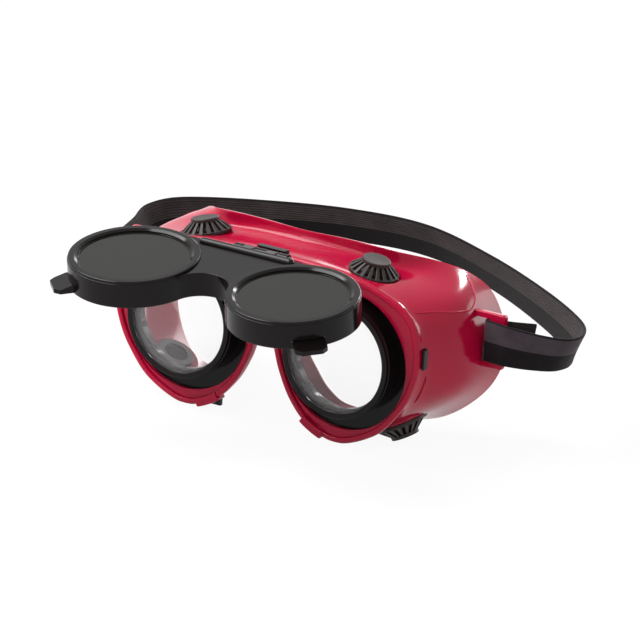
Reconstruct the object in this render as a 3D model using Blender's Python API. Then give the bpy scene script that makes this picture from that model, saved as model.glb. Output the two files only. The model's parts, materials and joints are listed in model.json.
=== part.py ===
# Flip-up welding goggles: a soft one-piece body, a snapped-in lens frame with two clear lenses,
# a hinged front frame with two dark filters, four slotted vents and an elastic headband.
#
# The model is laid out on the lenses: X to the wearer's left, Y to the back, Z up, with zero
# halfway between the two tube faces. The empty called goggles then stands it on its base.
# The front frame is laid out closed, over the tubes, and its hinge empty turns it up.

import math

import bmesh
import bpy
import numpy as np
from mathutils import Matrix, Vector

MM = 0.001
TURN = 2 * math.pi

# Edges that turn more than this stay sharp
SHARP_ANGLE = math.radians(35)

# Clearances
SEAT_GAP = 0.3 * MM
SLOT_GAP = 0.25 * MM
PIN_GAP = 0.15 * MM
OVERRUN = 3.0 * MM
BITE = 0.8 * MM

# Round lenses, 50 mm standard size
LENS_SPACING = 82.0 * MM
LENS_RADIUS = 25.0 * MM
CLEAR_THICKNESS = 2.0 * MM
FILTER_THICKNESS = 3.0 * MM
LENS_CENTRE = LENS_SPACING / 2

# Lens frame: two tubes on a plate behind the body's front rim
TUBE_WALL = 1.4 * MM
TUBE_LIP_LAP = 0.8 * MM
TUBE_LIP_RADIUS = LENS_RADIUS - TUBE_LIP_LAP
TUBE_LIP = 1.2 * MM
TUBE_BORE = LENS_RADIUS + SEAT_GAP
TUBE_RADIUS = TUBE_BORE + TUBE_WALL
GASKET_THICKNESS = 1.0 * MM
RING_LENGTH = 3.0 * MM
RING_WALL = 1.6 * MM
PLATE_THICKNESS = 1.8 * MM
PLATE_INSET = 4.8 * MM

# Opening in the body's rim for the lens frame, and a notch in it for the hinge
OPENING_MARGIN = 5.1 * MM
OPENING_RADIUS = TUBE_RADIUS + OPENING_MARGIN
OPENING_DROP = 2.0 * MM
OPENING_ARCH = 11.5 * MM
NOTCH_DEPTH = 3.5 * MM
NOTCH_RISE = OPENING_RADIUS - OPENING_DROP + NOTCH_DEPTH

# Body: outlines at four depths, each measured back from the tube faces
BODY_WALL = 2.0 * MM
RIM_CREST = 7.0 * MM
RIM_FACE = 8.2 * MM
RIM_EDGE = 8.6 * MM
RIM_BAND = 3.0 * MM
RIM_ROUND_SHARES = (0.6, 0.2)
FLANGE_THICKNESS = 2.0 * MM
RIM_MARGIN = 6.6 * MM
RIM_HALF_WIDTH = LENS_CENTRE + OPENING_RADIUS + RIM_MARGIN
SEAL_FLARE = 8.6 * MM
SEAL_HALF_WIDTH = RIM_HALF_WIDTH + SEAL_FLARE
HEIGHT_MARGIN = 8.2 * MM
BODY_HALF_HEIGHT = OPENING_RADIUS + HEIGHT_MARGIN
WAIST_DEPTH = 13.0 * MM
CREASE_DEPTH = 36.0 * MM
SEAL_DEPTH = 70.0 * MM
PLATE_FRONT = RIM_FACE + FLANGE_THICKNESS + SEAT_GAP
PLATE_BACK = PLATE_FRONT + PLATE_THICKNESS

# Half outlines from the top centre, down the side and back to the nose, as
# (share of half width, share of half height, share of depth)
RIM_SHARES = (
    (0.0, 0.980, 1.0), (0.280, 0.970, 1.0), (0.530, 0.935, 1.0), (0.730, 0.835, 1.0),
    (0.893, 0.680, 1.0), (0.975, 0.460, 1.0), (1.0, 0.070, 1.0), (0.957, -0.275, 1.0),
    (0.872, -0.565, 1.0), (0.740, -0.835, 1.0), (0.516, -1.017, 1.0), (0.318, -0.905, 1.0),
    (0.189, -0.660, 1.0), (0.105, -0.350, 1.0), (0.052, -0.040, 1.0), (0.0, 0.120, 1.0),
)
WAIST_SHARES = (
    (0.0, 0.968, 1.0), (0.280, 0.955, 1.0), (0.540, 0.905, 1.0), (0.741, 0.805, 1.0),
    (0.900, 0.645, 1.05), (0.988, 0.440, 1.2), (1.015, 0.070, 1.2), (0.977, -0.275, 1.2),
    (0.884, -0.548, 1.1), (0.748, -0.795, 1.0), (0.516, -0.965, 1.0), (0.315, -0.865, 1.0),
    (0.189, -0.625, 1.0), (0.108, -0.325, 1.0), (0.058, -0.035, 1.0), (0.0, 0.130, 1.0),
)
CREASE_SHARES = (
    (0.0, 0.950, 0.870), (0.290, 0.925, 0.930), (0.573, 0.860, 1.015), (0.781, 0.815, 1.095),
    (0.966, 0.690, 1.15), (1.056, 0.470, 1.12), (1.096, 0.080, 1.12), (1.077, -0.275, 1.08),
    (0.970, -0.550, 1.0), (0.785, -0.780, 0.91), (0.535, -0.890, 0.83), (0.355, -0.805, 0.70),
    (0.245, -0.600, 0.58), (0.171, -0.300, 0.50), (0.100, 0.0, 0.46), (0.0, 0.150, 0.44),
)
SEAL_SHARES = (
    (0.0, 1.075, 0.500), (0.261, 1.075, 0.521), (0.523, 1.038, 0.571), (0.682, 0.855, 0.771),
    (0.800, 0.770, 0.920), (0.909, 0.560, 0.986), (0.989, 0.130, 1.0), (0.983, -0.300, 0.970),
    (0.903, -0.625, 0.879), (0.750, -0.863, 0.743), (0.523, -0.913, 0.600), (0.364, -0.825, 0.471),
    (0.273, -0.600, 0.371), (0.205, -0.300, 0.307), (0.114, 0.0, 0.279), (0.0, 0.175, 0.271),
)
OUTLINE_STEPS = 3
WALL_ROWS = 3

# The rim's two lowest lobes are cut flat, and the goggles stand there
BASE_CUT = 0.48 * MM
BASE_DROP = BODY_HALF_HEIGHT * max(-share for _, share, _ in RIM_SHARES) - BASE_CUT

# Snap tabs of the lens frame: a neck through a slot in the body, at the top and sides with a head
TAB_PROUD = 0.8 * MM
TAB_HEAD = 1.0 * MM
TAB_HEAD_DEPTH = 3.3 * MM
TOP_TAB_WIDTH = 15.0 * MM
SIDE_TAB_HEIGHT = 9.0 * MM
SIDE_TAB_RISE = 6.4 * MM
BASE_TAB_WIDTH = 11.0 * MM
BASE_TAB_SHARE = 0.3526
BASE_TAB_LIFT = 2.0 * MM

# Vents: a slotted cone with a flat cap, held by a collar inside the body. A vent's place is given
# in shares of the rim's half width, the crease's depth and the half height.
VENT_HEIGHT = 7.0 * MM
VENT_BASE_RADIUS = 11.2 * MM
VENT_BASE_BAND = 1.3 * MM
VENT_NECK_RADIUS = 5.9 * MM
VENT_CAP_LAP = 0.5 * MM
VENT_CAP_RADIUS = VENT_NECK_RADIUS + VENT_CAP_LAP
VENT_CAP_THICKNESS = 1.3 * MM
VENT_WALL = 1.5 * MM
VENT_SLOTS = 18
VENT_SLOT_WIDTH = 1.1 * MM
VENT_STEM_RADIUS = 6.6 * MM
VENT_STEM_WALL = 1.0 * MM
COLLAR_THICKNESS = 1.4 * MM
COLLAR_RIM = 1.8 * MM
BOSS_EDGE = 0.4 * MM
BOSS_RADIUS = VENT_BASE_RADIUS + BOSS_EDGE
BOSS_DEPTH = 4.4 * MM
DRILL_DEPTH = 2 * BOSS_DEPTH
UPPER_VENT_SHARES = (0.549, 0.686, 0.8675)
UPPER_VENT_LEAN_SHARES = (0.20, 0.0, 0.98)
LOWER_VENT_SHARES = (0.762, 0.764, -0.776)
LOWER_VENT_LEAN_SHARES = (0.45, 0.05, -0.89)

# Headband: flat elastic, folded through both lugs
BAND_WIDTH = 19.0 * MM
BAND_THICKNESS = 1.4 * MM
BAND_TUCK = 0.5 * MM
BAND_BULGE = 26.0 * MM
BAND_REACH = 146.0 * MM
BAND_LEAD = 3.6 * MM
BAND_STEPS = 4
BAND_TAIL = 14.0 * MM
FOLD_STEPS = 5

# Strap lugs: a flat loop that stands out from each side, with a slit next to the body's wall
LUG_THICKNESS = 3.0 * MM
LUG_BACK_SHARE = 0.7
LUG_BACK = SEAL_DEPTH * LUG_BACK_SHARE
LUG_RISE = 8.5 * MM
LUG_ARM = 2.7 * MM
LUG_SINK = 1.2 * MM
LUG_BAR_GAP = 3.3 * MM
LUG_BAR_WIDTH = 8.5 * MM
LUG_CORNER = 1.2 * MM
LUG_SLIT_GAP = 0.4 * MM
LUG_SLIT_HALF = BAND_WIDTH / 2 + LUG_SLIT_GAP

# Top edge of the band from the right lug round to the left one. The first share is of the width:
# up to the first row's it runs to the lug's tip, and from there to one out over the bulge. The
# second is of the reach and the third of the band's width, both counted from the first row's.
# The last two are how the band leans to X and to Y.
BAND_SHARES = (
    (0.790, 0.3110, 0.947, 0.04, -0.03), (0.835, 0.3135, 0.921, 0.14, -0.06),
    (0.919, 0.3570, 0.789, 0.30, -0.12), (0.995, 0.4200, 0.679, 0.40, -0.16),
    (1.000, 0.5030, 0.663, 0.42, -0.16), (0.906, 0.6120, 0.689, 0.28, -0.14),
    (0.663, 0.7670, 0.747, 0.12, -0.20), (0.338, 0.9100, 0.879, 0.03, -0.30),
    (0.009, 0.9850, 1.053, 0.0, -0.38), (-0.318, 0.9720, 1.032, 0.0, -0.38),
    (-0.651, 0.8860, 0.942, -0.06, -0.32), (-0.905, 0.7750, 0.847, -0.20, -0.24),
    (-0.980, 0.6600, 0.780, -0.34, -0.17), (-0.945, 0.5400, 0.710, -0.40, -0.16),
    (-0.910, 0.4300, 0.700, -0.38, -0.16), (-0.874, 0.3600, 0.789, -0.28, -0.12),
    (-0.835, 0.3135, 0.921, -0.14, -0.06), (-0.790, 0.3110, 0.947, -0.04, -0.03),
)
TAIL_SHARES = ((0.30, 0.02, -0.02), (0.65, 0.25, -0.06), (1.0, 0.68, -0.14))

# Front frame: a plate with two cups and a skirt round the whole outline
STANDOFF = 6.0 * MM
CUP_MARGIN = 4.5 * MM
CUP_RADIUS = LENS_RADIUS + CUP_MARGIN
CUP_DEPTH = 12.4 * MM
CUP_WALL = 1.2 * MM
CUP_LIP = 1.3 * MM
CUP_FLARE = 0.5 * MM
CUP_RIM_RADIUS = LENS_RADIUS + CUP_FLARE
CUP_SEAT_LAP = 0.7 * MM
CUP_SEAT_RADIUS = LENS_RADIUS - CUP_SEAT_LAP
CUP_CHAMFER = 0.8 * MM
CUP_EDGE_STEP = 0.3 * MM
CUP_EDGE_ROUND = 0.5 * MM
CUP_BORE = LENS_RADIUS + SEAT_GAP
CUP_ARCH = 1.0 * MM
BRIDGE_DROP = 1.2 * MM
BRIDGE_THICKNESS = 1.6 * MM
BAR_RADIUS = 2.0 * MM
BAR_END_GAP = 16.7 * MM
BAR_LENGTH = 2 * (LENS_CENTRE - BAR_END_GAP)
BAR_DROP = 2.5 * MM
BAR_RISE = CUP_RADIUS - BAR_DROP
PULL_NOTCH_DEPTH = 4.2 * MM

# Hinge: the pin lies over the bridge, across three knuckles of the lens frame and two arms
HINGE_LIFT = 9.5 * MM
HINGE_RISE = CUP_RADIUS + HINGE_LIFT
HINGE_BACK = 1.5 * MM
PIN_RADIUS = 1.25 * MM
PIN_HEAD_RADIUS = 2.2 * MM
PIN_HEAD = 1.0 * MM
KNUCKLE_RADIUS = 2.9 * MM
KNUCKLE_HALF_WIDTH = 3.0 * MM
ARM_WIDTH = 5.0 * MM
WASHER_THICKNESS = 0.7 * MM
EAR_WIDTH = 4.0 * MM
EAR_CAP_START = math.radians(25)
EAR_CAP_END = math.radians(215)
CAP_STEPS = 10
OPEN_ANGLE = math.radians(80.8)

# Filter ring: holds the filter from behind, with a pull tab through the skirt's notch
RING_FLANGE = 0.8 * MM
RING_SLEEVE = 2.4 * MM
RING_SLEEVE_WALL = 0.9 * MM
PULL_WIDTH = 14.0 * MM
PULL_TIP_WIDTH = 9.0 * MM
PULL_REACH = 7.6 * MM
PULL_SLOPE = 1.6 * MM
PULL_ANGLE = math.radians(-45)

ROUND_STEPS = 44
SMALL_STEPS = 24


def clear_scene():
    for item in list(bpy.data.objects):
        bpy.data.objects.remove(item, do_unlink=True)


def plastic(name, colour, roughness, metallic=0.0, alpha=1.0):
    material = bpy.data.materials.new(name)
    material.use_nodes = True
    shader = material.node_tree.nodes["Principled BSDF"]
    shader.inputs["Base Color"].default_value = (*colour, 1.0)
    shader.inputs["Roughness"].default_value = roughness
    shader.inputs["Metallic"].default_value = metallic
    shader.inputs["Alpha"].default_value = alpha
    material.diffuse_color = (*colour, alpha)
    return material


def empty(name, place, parent=None):
    item = bpy.data.objects.new(name, None)
    item.location = place
    item.parent = parent
    bpy.context.scene.collection.objects.link(item)
    return item


def solid(name, points, faces, parent, material=None):
    mesh = bpy.data.meshes.new(name)
    mesh.from_pydata([tuple(map(float, p)) for p in points], [], faces)
    work = bmesh.new()
    work.from_mesh(mesh)
    bmesh.ops.recalc_face_normals(work, faces=work.faces)
    work.to_mesh(mesh)
    work.free()
    mesh.shade_smooth()
    mesh.set_sharp_from_angle(angle=SHARP_ANGLE)
    item = bpy.data.objects.new(name, mesh)
    item.parent = parent
    bpy.context.scene.collection.objects.link(item)
    if material:
        mesh.materials.append(material)
    return item


def helper(item):
    item.hide_render = True
    item.display_type = "WIRE"
    return item


def boolean(target, other, operation):
    helper(other)
    change = target.modifiers.new(f"{operation.lower()} {other.name}", "BOOLEAN")
    change.operation = operation
    change.object = other
    change.solver = "EXACT"


def loft_faces(rows, count, closed_rows=False):
    faces = []
    for row in range(rows if closed_rows else rows - 1):
        after = (row + 1) % rows
        for i in range(count):
            j = (i + 1) % count
            faces.append((row * count + i, row * count + j, after * count + j, after * count + i))
    return faces


def loft(name, rings, parent, material=None):
    """A solid through the rings, closed by a flat face at each end."""
    count = len(rings[0])
    points = np.concatenate(rings)
    faces = loft_faces(len(rings), count)
    faces.append(tuple(range(count)))
    faces.append(tuple(range(len(points) - count, len(points))))
    return solid(name, points, faces, parent, material)


def prism(name, outline, front, back, parent, material=None):
    """An X and Z outline carried along Y."""
    rings = []
    for depth in (front, back):
        rings.append([(x, depth, z) for x, z in outline])
    return loft(name, rings, parent, material)


def box(name, low, high, parent, material=None):
    outline = [(low[0], low[2]), (high[0], low[2]), (high[0], high[2]), (low[0], high[2])]
    return prism(name, outline, low[1], high[1], parent, material)


def turned(name, profile, parent, material=None, steps=ROUND_STEPS):
    """A closed profile of radius and depth turned about Y."""
    angles = np.arange(steps) * TURN / steps
    rings = [[(r * math.cos(a), depth, r * math.sin(a)) for a in angles] for r, depth in profile]
    faces = loft_faces(len(rings), steps, closed_rows=True)
    return solid(name, np.concatenate(rings), faces, parent, material)


def disc(name, radius, front, back, parent, material=None, steps=ROUND_STEPS):
    angles = np.arange(steps) * TURN / steps
    outline = [(radius * math.cos(a), radius * math.sin(a)) for a in angles]
    return prism(name, outline, front, back, parent, material)


def round_cutter(name, profile, parent, steps=ROUND_STEPS):
    """A solid of revolution about Y whose ends are flat discs."""
    angles = np.arange(steps) * TURN / steps
    rings = [[(r * math.cos(a), depth, r * math.sin(a)) for a in angles] for r, depth in profile]
    return loft(name, rings, parent)


def joined(name, items):
    """Several helper shapes that don't touch, put into one."""
    points = []
    faces = []
    for item in items:
        base = len(points)
        points += [item.matrix_basis @ v.co for v in item.data.vertices]
        faces += [tuple(base + i for i in face.vertices) for face in item.data.polygons]
    parent = items[0].parent
    for item in items:
        bpy.data.objects.remove(item, do_unlink=True)
    return solid(name, points, faces, parent)


def arc(centre, radius, start, end, steps):
    angles = np.linspace(start, end, steps)
    return [(centre[0] + radius * math.cos(a), centre[1] + radius * math.sin(a)) for a in angles]


def arch_radius(radius, rise):
    """The nose arch that touches both round sides and peaks at this rise above their centres."""
    return (LENS_CENTRE**2 + rise**2 - radius**2) / (2 * (radius + rise))


def twin_outline(radius, drop, peak):
    """Two circles joined by a straight top and a nose arch, run round once."""
    rise = peak + drop
    nose = arch_radius(radius, rise)
    nose_centre = peak - nose
    touch = math.atan2(nose_centre + drop, -LENS_CENTRE)
    quarter = math.pi / 2
    span = TURN + touch if touch < 0 else touch
    right = arc((LENS_CENTRE, -drop), radius, quarter, span - TURN, ROUND_STEPS * 2 // 3)
    meet = math.atan2(-drop - nose_centre, LENS_CENTRE)
    half_nose = arc((0.0, nose_centre), nose, meet, quarter, SMALL_STEPS // 2)
    half = right + half_nose[1:]
    return half + [(-x, z) for x, z in half[-2::-1]]


# Body outlines

def half_to_whole(shares):
    return list(shares) + [(-x, z, y) for x, z, y in shares[-2:0:-1]]


def station(shares, half_width, depth):
    scale = np.array([half_width, BODY_HALF_HEIGHT, depth])
    return np.array(half_to_whole(shares)) * scale


def rounded_loop(points, steps):
    """A Catmull-Rom curve through a closed run of points."""
    before = np.roll(points, 1, axis=0)
    after = np.roll(points, -1, axis=0)
    beyond = np.roll(points, -2, axis=0)
    parts = []
    for t in np.arange(steps) / steps:
        parts.append(spline_point(before, points, after, beyond, t))
    return np.stack(parts, axis=1).reshape(-1, points.shape[1])


def spline_point(a, b, c, d, t):
    bend = 2 * a - 5 * b + 4 * c - d
    twist = 3 * (b - c) + d - a
    return (2 * b + (c - a) * t + bend * t**2 + twist * t**3) / 2


def inset(outline, amount):
    """The outline moved inwards in its own plane."""
    along = np.roll(outline, -1, axis=0) - np.roll(outline, 1, axis=0)
    inwards = np.stack([along[:, 1], -along[:, 0]], axis=1)
    inwards /= np.linalg.norm(inwards, axis=1)[:, None]
    return outline + inwards * amount


def body_rows():
    """Outer skin of the body, from the rim's edge back to the seal, as rows of X, Y, Z."""
    controls = [
        station(RIM_SHARES, RIM_HALF_WIDTH, RIM_EDGE),
        station(WAIST_SHARES, RIM_HALF_WIDTH, WAIST_DEPTH),
        station(CREASE_SHARES, RIM_HALF_WIDTH, CREASE_DEPTH),
        station(SEAL_SHARES, SEAL_HALF_WIDTH, SEAL_DEPTH),
    ]
    loops = [rounded_loop(control, OUTLINE_STEPS)[:, [0, 2, 1]] for control in controls]
    ends = [loops[0]] + loops + [loops[-1]]
    rows = []
    for i in range(len(loops) - 1):
        for t in np.arange(WALL_ROWS) / WALL_ROWS:
            rows.append(spline_point(ends[i], ends[i + 1], ends[i + 2], ends[i + 3], t))
    return rows + [loops[-1]]


def inner_rows(rows):
    """The skin moved in by the wall, along its own normals."""
    grid = np.array(rows)
    around = np.roll(grid, -1, axis=1) - np.roll(grid, 1, axis=1)
    back = np.gradient(grid, axis=0)
    normals = np.cross(around, back)
    normals /= np.linalg.norm(normals, axis=2)[:, :, None]
    moved = grid - normals * BODY_WALL
    return [rim_row(BODY_WALL, RIM_FACE + FLANGE_THICKNESS)] + list(moved[WALL_ROWS:])


def rim_outline():
    return rounded_loop(station(RIM_SHARES, RIM_HALF_WIDTH, RIM_EDGE)[:, :2], OUTLINE_STEPS)


def rim_row(amount, depth):
    outline = inset(rim_outline(), amount)
    return np.array([(x, depth, z) for x, z in outline])


def in_triangles(item):
    """Splits bent four-sided faces into triangles, and leaves the flat end faces whole."""
    work = bmesh.new()
    work.from_mesh(item.data)
    bmesh.ops.triangulate(work, faces=[face for face in work.faces if len(face.verts) == 4])
    work.to_mesh(item.data)
    work.free()
    return item


def build_shell(parent, material):
    skin = body_rows()
    front = [rim_row(RIM_BAND, RIM_FACE)]
    front += [rim_row(RIM_BAND * share, RIM_CREST) for share in RIM_ROUND_SHARES]
    shell = loft("goggle_body", front + skin + inner_rows(skin)[::-1], parent, material)
    return in_triangles(shell)


def vent_places():
    """Name, place and outward direction of each vent."""
    places = []
    for level, shares, lean in (
        ("upper", UPPER_VENT_SHARES, UPPER_VENT_LEAN_SHARES),
        ("lower", LOWER_VENT_SHARES, LOWER_VENT_LEAN_SHARES),
    ):
        for side, sign in (("left", -1), ("right", 1)):
            spot = Vector((sign * shares[0] * RIM_HALF_WIDTH, shares[1] * CREASE_DEPTH,
                           shares[2] * BODY_HALF_HEIGHT))
            way = Vector((sign * lean[0], lean[1], lean[2])).normalized()
            places.append((f"{level}_{side}", spot, way))
    return places


def aimed(item, spot, way):
    """Turns a piece made along Y so that its Y points the given way."""
    item.rotation_euler = way.to_track_quat("Y", "Z").to_euler()
    item.location = spot
    return item


def placed_discs(name, radius, low, high, parent, steps=SMALL_STEPS):
    items = []
    for label, spot, way in vent_places():
        item = disc(f"{name} {label}", radius, low, high, parent, steps=steps)
        matrix = way.to_track_quat("Y", "Z").to_matrix().to_4x4()
        item.data.transform(Matrix.Translation(spot) @ matrix)
        items.append(item)
    return joined(name, items)


def tab_spans(grow, over):
    """Low and high X and Z of each tab's neck, from the plate out to where its head starts."""
    side = RIM_HALF_WIDTH + SEAT_GAP * 2 + over
    top = RIM_SHARES[0][1] * BODY_HALF_HEIGHT + SEAT_GAP + over
    root = PLATE_INSET + TAB_PROUD + over + 2 * grow
    half_top = TOP_TAB_WIDTH / 2 + grow
    half_side = SIDE_TAB_HEIGHT / 2 + grow
    half_base = BASE_TAB_WIDTH / 2 + grow
    base = BASE_DROP - BASE_TAB_LIFT + over
    spans = [((-half_top, top - root), (half_top, top))]
    for sign in (-1, 1):
        xs = sorted((sign * (side - root), sign * side))
        spans.append(((xs[0], SIDE_TAB_RISE - half_side), (xs[1], SIDE_TAB_RISE + half_side)))
        middle = sign * BASE_TAB_SHARE * RIM_HALF_WIDTH
        spans.append(((middle - half_base, -base), (middle + half_base, root - base)))
    return spans


def tab_slots(parent):
    items = []
    for i, (low, high) in enumerate(tab_spans(SLOT_GAP, OVERRUN)):
        front = (low[0], PLATE_FRONT - SLOT_GAP, low[1])
        items.append(box(f"tab slot {i}", front, (high[0], PLATE_BACK + SLOT_GAP, high[1]), parent))
    return joined("tab slots", items)


def tab_necks(parent):
    items = []
    for i, (low, high) in enumerate(tab_spans(0.0, TAB_HEAD / 2)):
        front = (low[0], PLATE_FRONT, low[1])
        items.append(box(f"tab neck {i}", front, (high[0], PLATE_BACK, high[1]), parent))
    return items


def tab_heads(parent):
    """Flat heads outside the body, over the top slot and the side slots."""
    front = PLATE_BACK - TAB_HEAD_DEPTH
    spans = tab_spans(0.0, 0.0)
    items = []
    (x0, _), (x1, top) = spans[0]
    items.append(box("tab head top", (x0, front, top), (x1, PLATE_BACK, top + TAB_HEAD), parent))
    for sign, span in ((-1, spans[1]), (1, spans[3])):
        near = span[0][0] if sign < 0 else span[1][0]
        xs = sorted((near, near + sign * TAB_HEAD))
        low = (xs[0], front, span[0][1])
        items.append(box(f"tab head {sign}", low, (xs[1], PLATE_BACK, span[1][1]), parent))
    return items


def skin_reach(rise):
    """How far out the body's skin lies at the lugs' depth, at this height."""
    rows = np.array(body_rows())
    lowest = int(np.argmin(rows[0, :, 2]))
    side = rows[:, lowest::-1]
    out = [np.interp(rise, row[:, 2], row[:, 0]) for row in side]
    back = [np.interp(rise, row[:, 2], row[:, 1]) for row in side]
    return float(np.interp(LUG_BACK, back, out))


def lug_bar():
    """Where the lug's bar starts, next to the slit, and where it ends."""
    inner = skin_reach(LUG_RISE) + LUG_BAR_GAP
    return inner, inner + LUG_BAR_WIDTH


def slit_outline():
    """The lug's slit in X and Y: open to the body, and rounded round the bar's inner edge."""
    nose = LUG_THICKNESS / 2
    front = LUG_BACK - nose - OVERRUN
    back = LUG_BACK + nose + OVERRUN
    inner = lug_bar()[0] + nose
    root = skin_reach(LUG_RISE + LUG_SLIT_HALF + LUG_ARM) - LUG_SINK - OVERRUN
    edge = arc((inner, LUG_BACK), nose, 3 * math.pi / 2, math.pi / 2, FOLD_STEPS * 2)
    return [(root, front), (inner, front)] + edge + [(inner, back), (root, back)]


def build_lug(sign, parent):
    """A flat plate with rounded outer corners and a slit for the band."""
    low = LUG_RISE - LUG_SLIT_HALF - LUG_ARM
    high = LUG_RISE + LUG_SLIT_HALF + LUG_ARM
    corner = lug_bar()[1] - LUG_CORNER
    top = arc((corner, high - LUG_CORNER), LUG_CORNER, math.pi / 2, 0.0, FOLD_STEPS)
    base = arc((corner, low + LUG_CORNER), LUG_CORNER, 0.0, -math.pi / 2, FOLD_STEPS)
    roots = [(skin_reach(z) - LUG_SINK, z) for z in (high, low)]
    outline = [roots[0]] + top + base + [roots[1]]
    outline = [(sign * x, z) for x, z in outline]
    front = LUG_BACK - LUG_THICKNESS / 2
    lug = prism(f"strap lug {sign}", outline, front, front + LUG_THICKNESS, parent)
    levels = (LUG_RISE - LUG_SLIT_HALF, LUG_RISE + LUG_SLIT_HALF)
    rings = [[(sign * x, y, z) for x, y in slit_outline()] for z in levels]
    boolean(lug, loft(f"lug slit {sign}", rings, parent), "DIFFERENCE")
    return lug


def build_body(parent, material):
    body = build_shell(parent, material)
    opening = twin_outline(OPENING_RADIUS, OPENING_DROP, OPENING_ARCH)
    back = RIM_FACE + FLANGE_THICKNESS + OVERRUN
    boolean(body, prism("rim opening", opening, RIM_CREST - OVERRUN, back, parent), "DIFFERENCE")
    side = knuckle_spans()[-1] + SEAT_GAP
    low = (-side, RIM_CREST - OVERRUN, OPENING_RADIUS - OPENING_DROP - OVERRUN)
    boolean(body, box("hinge notch", low, (side, back, NOTCH_RISE), parent), "DIFFERENCE")
    boolean(body, placed_discs("vent bosses", BOSS_RADIUS, -BOSS_DEPTH, BITE, parent), "UNION")
    faces = placed_discs("vent faces", BOSS_RADIUS + BITE, -SEAT_GAP, VENT_HEIGHT, parent)
    boolean(body, faces, "DIFFERENCE")
    hole = VENT_STEM_RADIUS + SEAT_GAP
    holes = placed_discs("vent holes", hole, -DRILL_DEPTH, OVERRUN, parent)
    boolean(body, holes, "DIFFERENCE")
    boolean(body, tab_slots(parent), "DIFFERENCE")
    for sign in (-1, 1):
        boolean(body, build_lug(sign, parent), "UNION")
    low = (-SEAL_HALF_WIDTH, RIM_CREST - OVERRUN, -BASE_DROP - OVERRUN)
    high = (SEAL_HALF_WIDTH, SEAL_DEPTH, -BASE_DROP)
    boolean(body, box("base cut", low, high, parent), "DIFFERENCE")
    return body


# Lens frame and what it holds

def side_places():
    return (("left", -1), ("right", 1))


def tube_profile():
    return [
        (TUBE_LIP_RADIUS, 0.0),
        (TUBE_RADIUS, 0.0),
        (TUBE_RADIUS, PLATE_BACK),
        (TUBE_BORE, PLATE_BACK),
        (TUBE_BORE, TUBE_LIP),
        (TUBE_LIP_RADIUS, TUBE_LIP),
    ]


def ear_outline():
    """One knuckle of the lens frame in Y and Z: up from the plate, round the pin and back."""
    skirt_back = CUP_DEPTH - STANDOFF + 2 * SEAT_GAP
    root = OPENING_RADIUS - OPENING_DROP - 3 * BODY_WALL
    top = NOTCH_RISE - SEAT_GAP
    cap = arc((HINGE_BACK, HINGE_RISE), KNUCKLE_RADIUS, EAR_CAP_START, EAR_CAP_END, CAP_STEPS)
    return [
        (PLATE_FRONT + BITE, root),
        (PLATE_FRONT + BITE, top),
        (RIM_FACE - SEAT_GAP, top),
        (RIM_CREST - SEAT_GAP, top + KNUCKLE_RADIUS),
    ] + cap + [
        (HINGE_BACK - KNUCKLE_RADIUS / 2, HINGE_RISE - 2 * KNUCKLE_RADIUS),
        (skirt_back, CUP_RADIUS + 2 * SEAT_GAP),
        (skirt_back, root),
    ]


def slab(name, outline, low, high, parent):
    """A Y and Z outline carried along X."""
    rings = [[(x, y, z) for y, z in outline] for x in (low, high)]
    return loft(name, rings, parent)


def pin_hole(name, radius, length, parent):
    item = disc(name, radius, -length / 2, length / 2, parent, steps=SMALL_STEPS)
    item.data.transform(Matrix.Rotation(math.pi / 2, 4, "Z"))
    item.data.transform(Matrix.Translation((0.0, HINGE_BACK, HINGE_RISE)))
    return item


def knuckle_spans():
    """X from and to of the middle knuckle, the arms, the washers and the outer ears."""
    arm_in = KNUCKLE_HALF_WIDTH + SEAT_GAP
    arm_out = arm_in + ARM_WIDTH
    washer_in = arm_out + SEAT_GAP
    washer_out = washer_in + WASHER_THICKNESS
    ear_in = washer_out + SEAT_GAP
    return arm_in, arm_out, washer_in, washer_out, ear_in, ear_in + EAR_WIDTH


def build_lens_frame(parent, material):
    outline = inset(rim_outline(), PLATE_INSET)
    frame = prism("lens_frame", outline, PLATE_FRONT, PLATE_BACK, parent, material)
    for side, sign in side_places():
        cut = disc(f"tube hole {side}", TUBE_BORE + TUBE_WALL / 2, PLATE_FRONT - OVERRUN,
                   PLATE_BACK + OVERRUN, parent)
        cut.location.x = sign * LENS_CENTRE
        boolean(frame, cut, "DIFFERENCE")
        tube = turned(f"tube {side}", tube_profile(), parent)
        tube.location.x = sign * LENS_CENTRE
        boolean(frame, tube, "UNION")
    for item in tab_necks(parent) + tab_heads(parent):
        boolean(frame, item, "UNION")
    ear_in, ear_out = knuckle_spans()[4:]
    spans = ((-KNUCKLE_HALF_WIDTH, KNUCKLE_HALF_WIDTH), (ear_in, ear_out), (-ear_out, -ear_in))
    ears = [slab(f"ear {i}", ear_outline(), *span, parent) for i, span in enumerate(spans)]
    boolean(frame, joined("hinge ears", ears), "UNION")
    hole = pin_hole("ear hole", PIN_RADIUS + PIN_GAP, 2 * ear_out + OVERRUN, parent)
    boolean(frame, hole, "DIFFERENCE")
    return frame


def build_clear_lenses(parent, glass, rubber, plastic_black):
    lens_front = TUBE_LIP + SEAT_GAP
    gasket_front = lens_front + CLEAR_THICKNESS + SEAT_GAP
    ring_front = gasket_front + GASKET_THICKNESS + SEAT_GAP
    inside = LENS_RADIUS - RING_WALL
    for side, sign in side_places():
        lens = disc(f"clear_lens_{side}", LENS_RADIUS, lens_front, lens_front + CLEAR_THICKNESS,
                    parent, glass)
        gasket = turned(f"lens_gasket_{side}", band_profile(inside, LENS_RADIUS, gasket_front,
                        gasket_front + GASKET_THICKNESS), parent, rubber)
        ring = turned(f"lens_ring_{side}", band_profile(inside, LENS_RADIUS, ring_front,
                      ring_front + RING_LENGTH), parent, plastic_black)
        for item in (lens, gasket, ring):
            item.location.x = sign * LENS_CENTRE


def band_profile(inner, outer, front, back):
    return [(inner, front), (outer, front), (outer, back), (inner, back)]


# Front frame, laid out closed

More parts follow.
